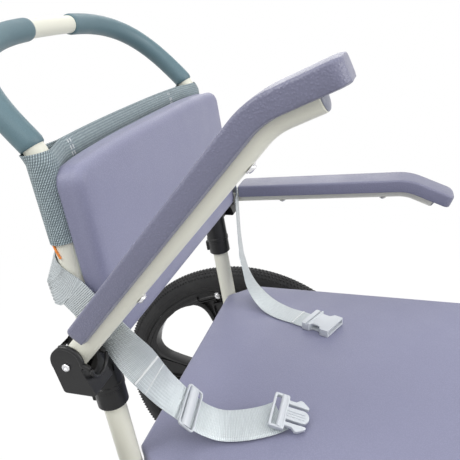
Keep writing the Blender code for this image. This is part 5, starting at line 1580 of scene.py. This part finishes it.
# a station: shares of the way from the end to the loop (across, back, up), then the width's direction
beltRuns = {
    "right": {
        "end": (-0.507, 0.3577, sin(belt["tilt"]) * belt["width"] / 2 + belt["cloth"]),
        "stations": ((1.0, 0.937, 0.938, (0.0, -0.68, 0.73)), (1.0, 0.866, 0.865, (0.0, -0.69, 0.72)),
                     (1.0, 0.791, 0.785, (0.05, -0.70, 0.71)), (0.962, 0.723, 0.677, (0.25, -0.60, 0.75)),
                     (0.846, 0.665, 0.527, (0.60, -0.30, 0.72)), (0.660, 0.624, 0.351, (0.78, -0.15, 0.60)),
                     (0.518, 0.572, 0.219, (0.87, -0.03, 0.50)), (0.447, 0.519, 0.134, (0.90, 0.07, 0.44)),
                     (0.389, 0.442, 0.057, (0.90, 0.15, 0.41)), (0.329, 0.338, 0.009, (0.884, 0.232, 0.405)),
                     (0.245, 0.207, 0.0, (0.86, 0.32, 0.40)), (0.119, 0.0775, 0.0, (0.80, 0.45, 0.38)),
                     (0.0, 0.0, 0.0, (0.78, 0.52, 0.36))),
        "tacks": ((0.3825, 0.0012, 0.0014), (0.4160, 0.0006, 0.0006)),
    },
    "left": {
        "end": (0.516, 0.3526, 0.0),
        "stations": ((1.0, 0.9315, 0.949, (0.0, -0.62, 0.78)), (0.997, 0.854, 0.895, (-0.05, -0.60, 0.80)),
                     (0.987, 0.788, 0.862, (-0.35, -0.60, 0.70)), (0.950, 0.745, 0.831, (-0.75, -0.45, 0.45)),
                     (0.935, 0.728, 0.777, (-0.97, -0.18, 0.05)), (0.935, 0.727, 0.735, (-0.975, -0.16, 0.0)),
                     (0.935, 0.726, 0.599, (-0.975, -0.16, 0.0)), (0.905, 0.719, 0.470, (-0.975, -0.16, 0.0)),
                     (0.847, 0.702, 0.366, (-0.97, -0.14, 0.06)), (0.789, 0.684, 0.301, (-0.95, -0.08, 0.20)),
                     (0.701, 0.643, 0.218, (-0.92, 0.0, 0.35)), (0.577, 0.578, 0.128, (-0.90, 0.15, 0.25)),
                     (0.459, 0.495, 0.064, (-0.90, 0.28, 0.15)), (0.355, 0.410, 0.023, (-0.90, 0.36, 0.06)),
                     (0.264, 0.326, 0.004, (-0.90, 0.40, 0.0)), (0.157, 0.216, 0.0, (-0.93, 0.37, 0.0)),
                     (0.080, 0.102, 0.0, (-0.95, 0.33, 0.0)), (0.0, 0.0, 0.0, (-0.93, 0.37, 0.0))),
        "tacks": ((0.945, 0.0011, 0.0012),),
    },
}


def beltSlope(degrees):
    low, high = belt["level"]
    return belt["slope"] * min(1.0, max(0.0, (high - degrees) / (high - low)))


def beltOnPost(sign, degrees, along, aside):
    # a point of the wrapped belt; its width lies across the slope, so aside moves it up and forward
    slope = beltSlope(degrees)
    radius = belt["radius"]
    angle = radians(degrees) - aside * sin(slope) / radius
    base = onPost(sign * post["x"], along + aside * cos(slope))
    if angle < 0:
        return base + Vector((sign, 0, 0)) * radius - postForward * (angle * radius)
    # the lower edge runs straight back to a fold behind the post, the upper edge hugs it
    fold, hug = belt["fold"], belt["hug"]
    loose = 1 / cos(min(angle, fold)) - 1
    if angle > fold:
        loose *= cos(pi / 2 * min(1.0, (angle - fold) / (hug - fold))) ** 2
    beside = Vector((sign, 0, 0)) * cos(angle) - postForward * sin(angle)
    return base + beside * radius * (1 + loose * min(1.0, 1 - 2 * aside / belt["width"]))


def beltLoop(sign, columns):
    # rows of points across the belt, from behind the post round to its outer side
    rows = []
    along = belt["along"]
    for degrees in range(0, belt["around"] + 1, belt["step"]):
        rows.append([beltOnPost(sign, degrees, along, aside) for aside in columns])
        along += belt["radius"] * radians(belt["step"]) * tan(beltSlope(degrees + belt["step"] / 2))
    return rows[::-1]


def beltPoints(side, sign):
    run = beltRuns[side]
    across, back, lift = run["end"]
    end = Vector((across * seat["half"], seat["rear"] - back * seat["depth"], belt["top"] + lift))
    cosine, sine = cos(belt["slope"]), sin(belt["slope"])
    points = [beltOnPost(sign, 0, belt["along"], 0.0)]
    widths = [postUp * cosine + postForward * sine]
    before = points[0] - (postForward * cosine - postUp * sine) * belt["lead"]
    span = points[0] - end
    for across, back, height, width in run["stations"]:
        points.append(end + Vector((span.x * across, span.y * back, span.z * height)))
        widths.append(Vector(width))
    return points, widths, before


def smoothLine(points, count, before=None):
    points = [Vector(point) for point in points]
    ends = [before or 2 * points[0] - points[1]] + points + [2 * points[-1] - points[-2]]
    pieces = len(points) - 1
    line = []
    for number in range(count + 1):
        place = number / count * pieces
        piece = min(int(place), pieces - 1)
        line.append(splinePoint(ends, piece, place - piece))
    return line


def beltLine(points, widths, before, count=200):
    line = smoothLine(points, count, before)
    acrosses = []
    for number, width in enumerate(smoothLine(widths, count)):
        ahead = line[min(number + 1, count)] - line[max(number - 1, 0)]
        acrosses.append((width - ahead * (width.dot(ahead) / ahead.length_squared)).normalized())
    return line, acrosses


def strapMesh(rows, columns, cloth):
    # webbing over rows of points: two faces with drawn-in selvedges
    bm = bmesh.new()
    uv = bm.loops.layers.uv.new("cloth")
    last, count = len(rows) - 1, len(columns)
    middle = count // 2
    lengths = [0.0]
    for first, second in zip(rows, rows[1:]):
        lengths.append(lengths[-1] + (second[middle] - first[middle]).length)
    faces = []
    for side in (1, -1):
        grid = []
        for number, row in enumerate(rows):
            line = []
            for place, point in enumerate(row):
                ahead = rows[min(number + 1, last)][place] - rows[max(number - 1, 0)][place]
                across = row[min(place + 1, count - 1)] - row[max(place - 1, 0)]
                high = cloth / 2 * (0.45 if place in (0, count - 1) else 1.0)
                line.append(bm.verts.new(point + across.cross(ahead).normalized() * high * side))
            grid.append(line)
        faces.append(grid)
    upper, lower = faces

    def quad(corners, spots):
        face = bm.faces.new(corners)
        for corner, spot in zip(face.loops, spots):
            corner[uv].uv = spot

    for number in range(last):
        low, high = lengths[number], lengths[number + 1]
        for grid in (upper, lower):
            for place in range(count - 1):
                left, right = columns[place], columns[place + 1]
                here, there = grid[number], grid[number + 1]
                quad((here[place], here[place + 1], there[place + 1], there[place]),
                     ((left, low), (right, low), (right, high), (left, high)))
        for place in (0, count - 1):
            edge = columns[place]
            after = number + 1
            quad((upper[number][place], upper[after][place], lower[after][place], lower[number][place]),
                 ((edge, low), (edge, high), (edge, high), (edge, low)))
    for number in (0, last):
        bm.faces.new(upper[number] + lower[number][::-1])
    return bm, lengths[-1]


def holdBelt(thing):
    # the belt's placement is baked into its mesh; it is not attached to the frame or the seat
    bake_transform(thing)


def makeBelts():
    for side, sign in sides:
        points, widths, before = beltPoints(side, sign)
        line, acrosses = beltLine(points, widths, before)
        columns = [belt["width"] * (n / 12 - 0.5) for n in range(13)]
        rows = beltLoop(sign, columns)
        rows += [[spot + across * aside for aside in columns] for spot, across in zip(line[1:], acrosses[1:])]
        bm, length = strapMesh(rows, columns, belt["cloth"])
        thing = addPiece(f"webbing.{side}", bm, "silver_webbing", None, [f"belt_{side}"], 50.0)
        holdBelt(thing)
        makeTacks(side, line, acrosses)
        print("belt", side, "is", round(length, 3), "m long")
        if sign < 0:
            makeSlider(points, widths)
            makeBuckleTongue(points[-1])
        else:
            makeBuckleSocket(line)


def makeTacks(side, line, acrosses):
    # sewn bars across the webbing: (share of the line, half height, half width)
    bm = bmesh.new()
    for share, high, wide in beltRuns[side]["tacks"]:
        number = round(share * (len(line) - 1))
        spot, across = line[number], acrosses[number]
        ahead = (line[number + 1] - line[number - 1]).normalized()
        up = across.cross(ahead).normalized()
        place = Matrix((across, ahead, up)).transposed().to_4x4()
        place.translation = spot
        reach = belt["width"] / 2 - 0.0008
        for face in (-1, 1):
            section = [(y, face * belt["cloth"] / 2 + z) for y, z in roundBox(wide, high, 3, 14)]
            addTo(bm, crossBar(section, -reach, reach, place))
    thing = addPiece(f"beltTacks.{side}", bm, "silver_webbing", None, finish=thread)
    holdBelt(thing)


# slider and buckle

buckle = {
    "half": 0.023, "long": 0.046, "high": 0.011, "plate": 0.006, "overlap": 0.0118, "lift": 0.0060,
    "ahead": (0.06, -0.96, -0.27), "across": (-0.955, -0.01, -0.26),
    "prong": 0.0026, "guide": 0.0022, "wall": 0.0021,
}
slider = {
    "half": 0.025, "along": 0.013, "high": 0.003, "lift": 0.0022,
    "frame": 0.0021, "bar": 0.0070, "dome": 0.0038, "barBack": 0.0012, "barLow": -0.0004,
}


def roundBar(y, z, section, reach, place):
    # a section about (y, z), carried across the place from -reach to reach
    return crossBar([(ahead + y, up + z) for ahead, up in section], -reach, reach, place)


def lyingFrame(place, ahead, across, lift):
    # Y points ahead, X is close to across and Z is lifted off the belt
    along = Vector(ahead).normalized()
    up = Vector(across).cross(along).normalized()
    aside = along.cross(up)
    made = Matrix((aside, along, up)).transposed().to_4x4()
    made.translation = Vector(place) + up * lift
    return made


def makeSlider(points, widths):
    before, after = points[-7:-5]
    lift = (slider["high"] + belt["cloth"]) / 2 + slider["lift"]
    place = lyingFrame(before.lerp(after, 0.75), after - before, -widths[-6], lift)
    half, along, high, bar = slider["half"], slider["along"], slider["high"] / 2, slider["frame"]
    outer = roundBox(half, along, 9, 56)
    inner = roundBox(half - bar, along - bar, 9, 56)
    bm = ringSlab(outer, inner, -high, high, place)
    thing = addPiece("beltSlider", bm, "grey_buckle", "seat_cover", ["belt_slider"])
    roundOver(thing, 0.0007)
    # the wide rounded bar that the webbing runs over
    section = arc((0.0, 0.0), slider["bar"], 0.0, pi, 16)
    section = [(y, z * slider["dome"] / slider["bar"]) for y, z in section]
    bm = roundBar(-slider["barBack"], slider["barLow"], section, half - bar * 0.8, place)
    addPiece("sliderBar", bm, "grey_buckle", "seat_cover")


def makeBuckleTongue(end):
    ahead = Vector(buckle["ahead"]).normalized()
    start = end - ahead * buckle["overlap"] + Vector((0, 0, buckle["lift"]))
    place = lyingFrame(start, ahead, buckle["across"], 0.0)
    half, tip, high = buckle["half"], buckle["long"], buckle["plate"] / 2
    barEnd = tip * 0.42
    # the frame with the belt's slot
    middle = (0.0003 + barEnd) / 2
    outer = [(x, y + middle) for x, y in roundBox(half, barEnd - middle, 12, 48)]
    inner = [(x, y + 0.0065) for x, y in roundBox(half - 0.0032, 0.0030, 12, 48)]
    bm = ringSlab(outer, inner, -high, high, place)
    thing = addPiece("buckleTongue", bm, "grey_buckle", "seat_cover", ["buckle_plug"])
    roundOver(thing, 0.0009)
    bm = roundBar(0.0122, 0.0018, roundBox(0.0027, 0.0027, 2, 20), half - 0.0016, place)
    addTo(bm, roundBar(0.0178, 0.0022, roundBox(0.0013, 0.0014, 2.5, 16), half * 0.82, place))
    addPiece("tongueBars", bm, "grey_buckle", "seat_cover")
    # two hooked prongs and the guide between them
    prong = half * 0.22
    root = half * 0.74
    hook = [(root, barEnd - 0.002), (root, tip * 0.60), (half * 0.92, tip * 0.70), (half * 0.90, tip * 0.77),
            (half * 0.64, tip * 0.95), (half * 0.56, tip * 0.96), (half * 0.50, tip * 0.93),
            (root - prong, tip * 0.66), (root - prong, barEnd - 0.002)]
    wide = half * 0.36
    guide = [(-wide, barEnd - 0.002), (wide, barEnd - 0.002), (wide, tip * 0.84)]
    guide += [(x * wide, tip * 0.84 + y * tip * 0.16) for x, y in arc((0.0, 0.0), 1.0, 0.0, pi, 12)]
    guide.append((-wide, tip * 0.84))
    for name, outline, thick in (("prongLeft", hook, buckle["prong"]),
                                 ("prongRight", [(-x, y) for x, y in hook], buckle["prong"]),
                                 ("tongueGuide", guide, buckle["guide"])):
        thing = addPiece(f"buckle.{name}", slab(outline, -thick, thick, place), "grey_buckle", "seat_cover")
        roundOver(thing, 0.0007)
    ribs = bmesh.new()
    for x in (-0.0034, 0.0, 0.0034):
        rib = [(x + across, tip * 0.66 + along) for across, along in roundBox(0.0009, tip * 0.24, 6, 20)]
        addTo(ribs, slab(rib, 0.0016, 0.0031, place))
    addPiece("guideRibs", ribs, "grey_buckle", "seat_cover")


def makeBuckleSocket(line):
    ahead = line[-1] - line[-3]
    lift = (buckle["high"] - belt["cloth"]) / 2
    place = lyingFrame(line[-1], ahead, (ahead.y, -ahead.x, 0.0), lift)
    half, long, high = buckle["half"], buckle["long"], buckle["high"] / 2
    waist = half * 0.70
    # one side of the body, drawn in at the waist where the prongs show
    plan = [(half * 0.90, 0.0003), (half * 0.96, 0.002), (half * 0.96, long * 0.27),
            (waist + 0.001, long * 0.33), (waist, long * 0.38), (waist, long * 0.58),
            (waist + 0.001, long * 0.62), (half * 0.98, long * 0.70), (half, long * 0.74),
            (half * 0.98, long * 0.99), (half * 0.96, long)]
    plan += [(-x, y) for x, y in reversed(plan)]
    bm = slab(plan, -high, high, place)
    thing = addPiece("buckleSocket", bm, "grey_buckle", "seat_cover", ["buckle_socket"])
    wall, past = buckle["wall"], half * 1.2
    opening = [(-half + 2 * wall, long * 0.32), (half - 2 * wall, long * 0.32),
               (half - wall * 1.2, long * 1.2), (-half + wall * 1.2, long * 1.2)]
    mouth = slab(opening, -high + wall, high - wall, place)
    line = [(-past, 0.0072), (past, 0.0072), (past, 0.0100), (-past, 0.0100)]
    groove = slab(line, high - 0.0022, high + 0.01, place)
    cutWith(thing, [toolFrom(mouth), toolFrom(groove)])
    roundOver(thing, 0.0008)
    ridge = roundBar(0.0120, high - 0.0004, roundBox(0.0016, 0.0014, 2, 16), half * 0.94, place)
    addPiece("socketRidge", ridge, "grey_buckle", "seat_cover")


# the rest of the CAD keeps its shape and gets softer edges

def finishCad():
    for name, width in (("commode_seat", 0.004), ("commode_pan", 0.0012), ("back_board", 0.001),
                        ("axle_plate_left", 0.0015), ("axle_plate_right", 0.0015),
                        ("pan_rail_left", 0.0006), ("pan_rail_right", 0.0006)):
        softenEdges(nodes[name], width)


makeTubes()
makeBow()
makeSling()
makeCushions()
makeArms()
print("frame, back and arms dressed")
makeBrackets()
makeWheels()
makeCasters()
print("brackets and wheels dressed")
makeFootrests()
makeBrakes()
makeBelts()
finishCad()
print("footrests, brakes and belt dressed")

print("visual model made")
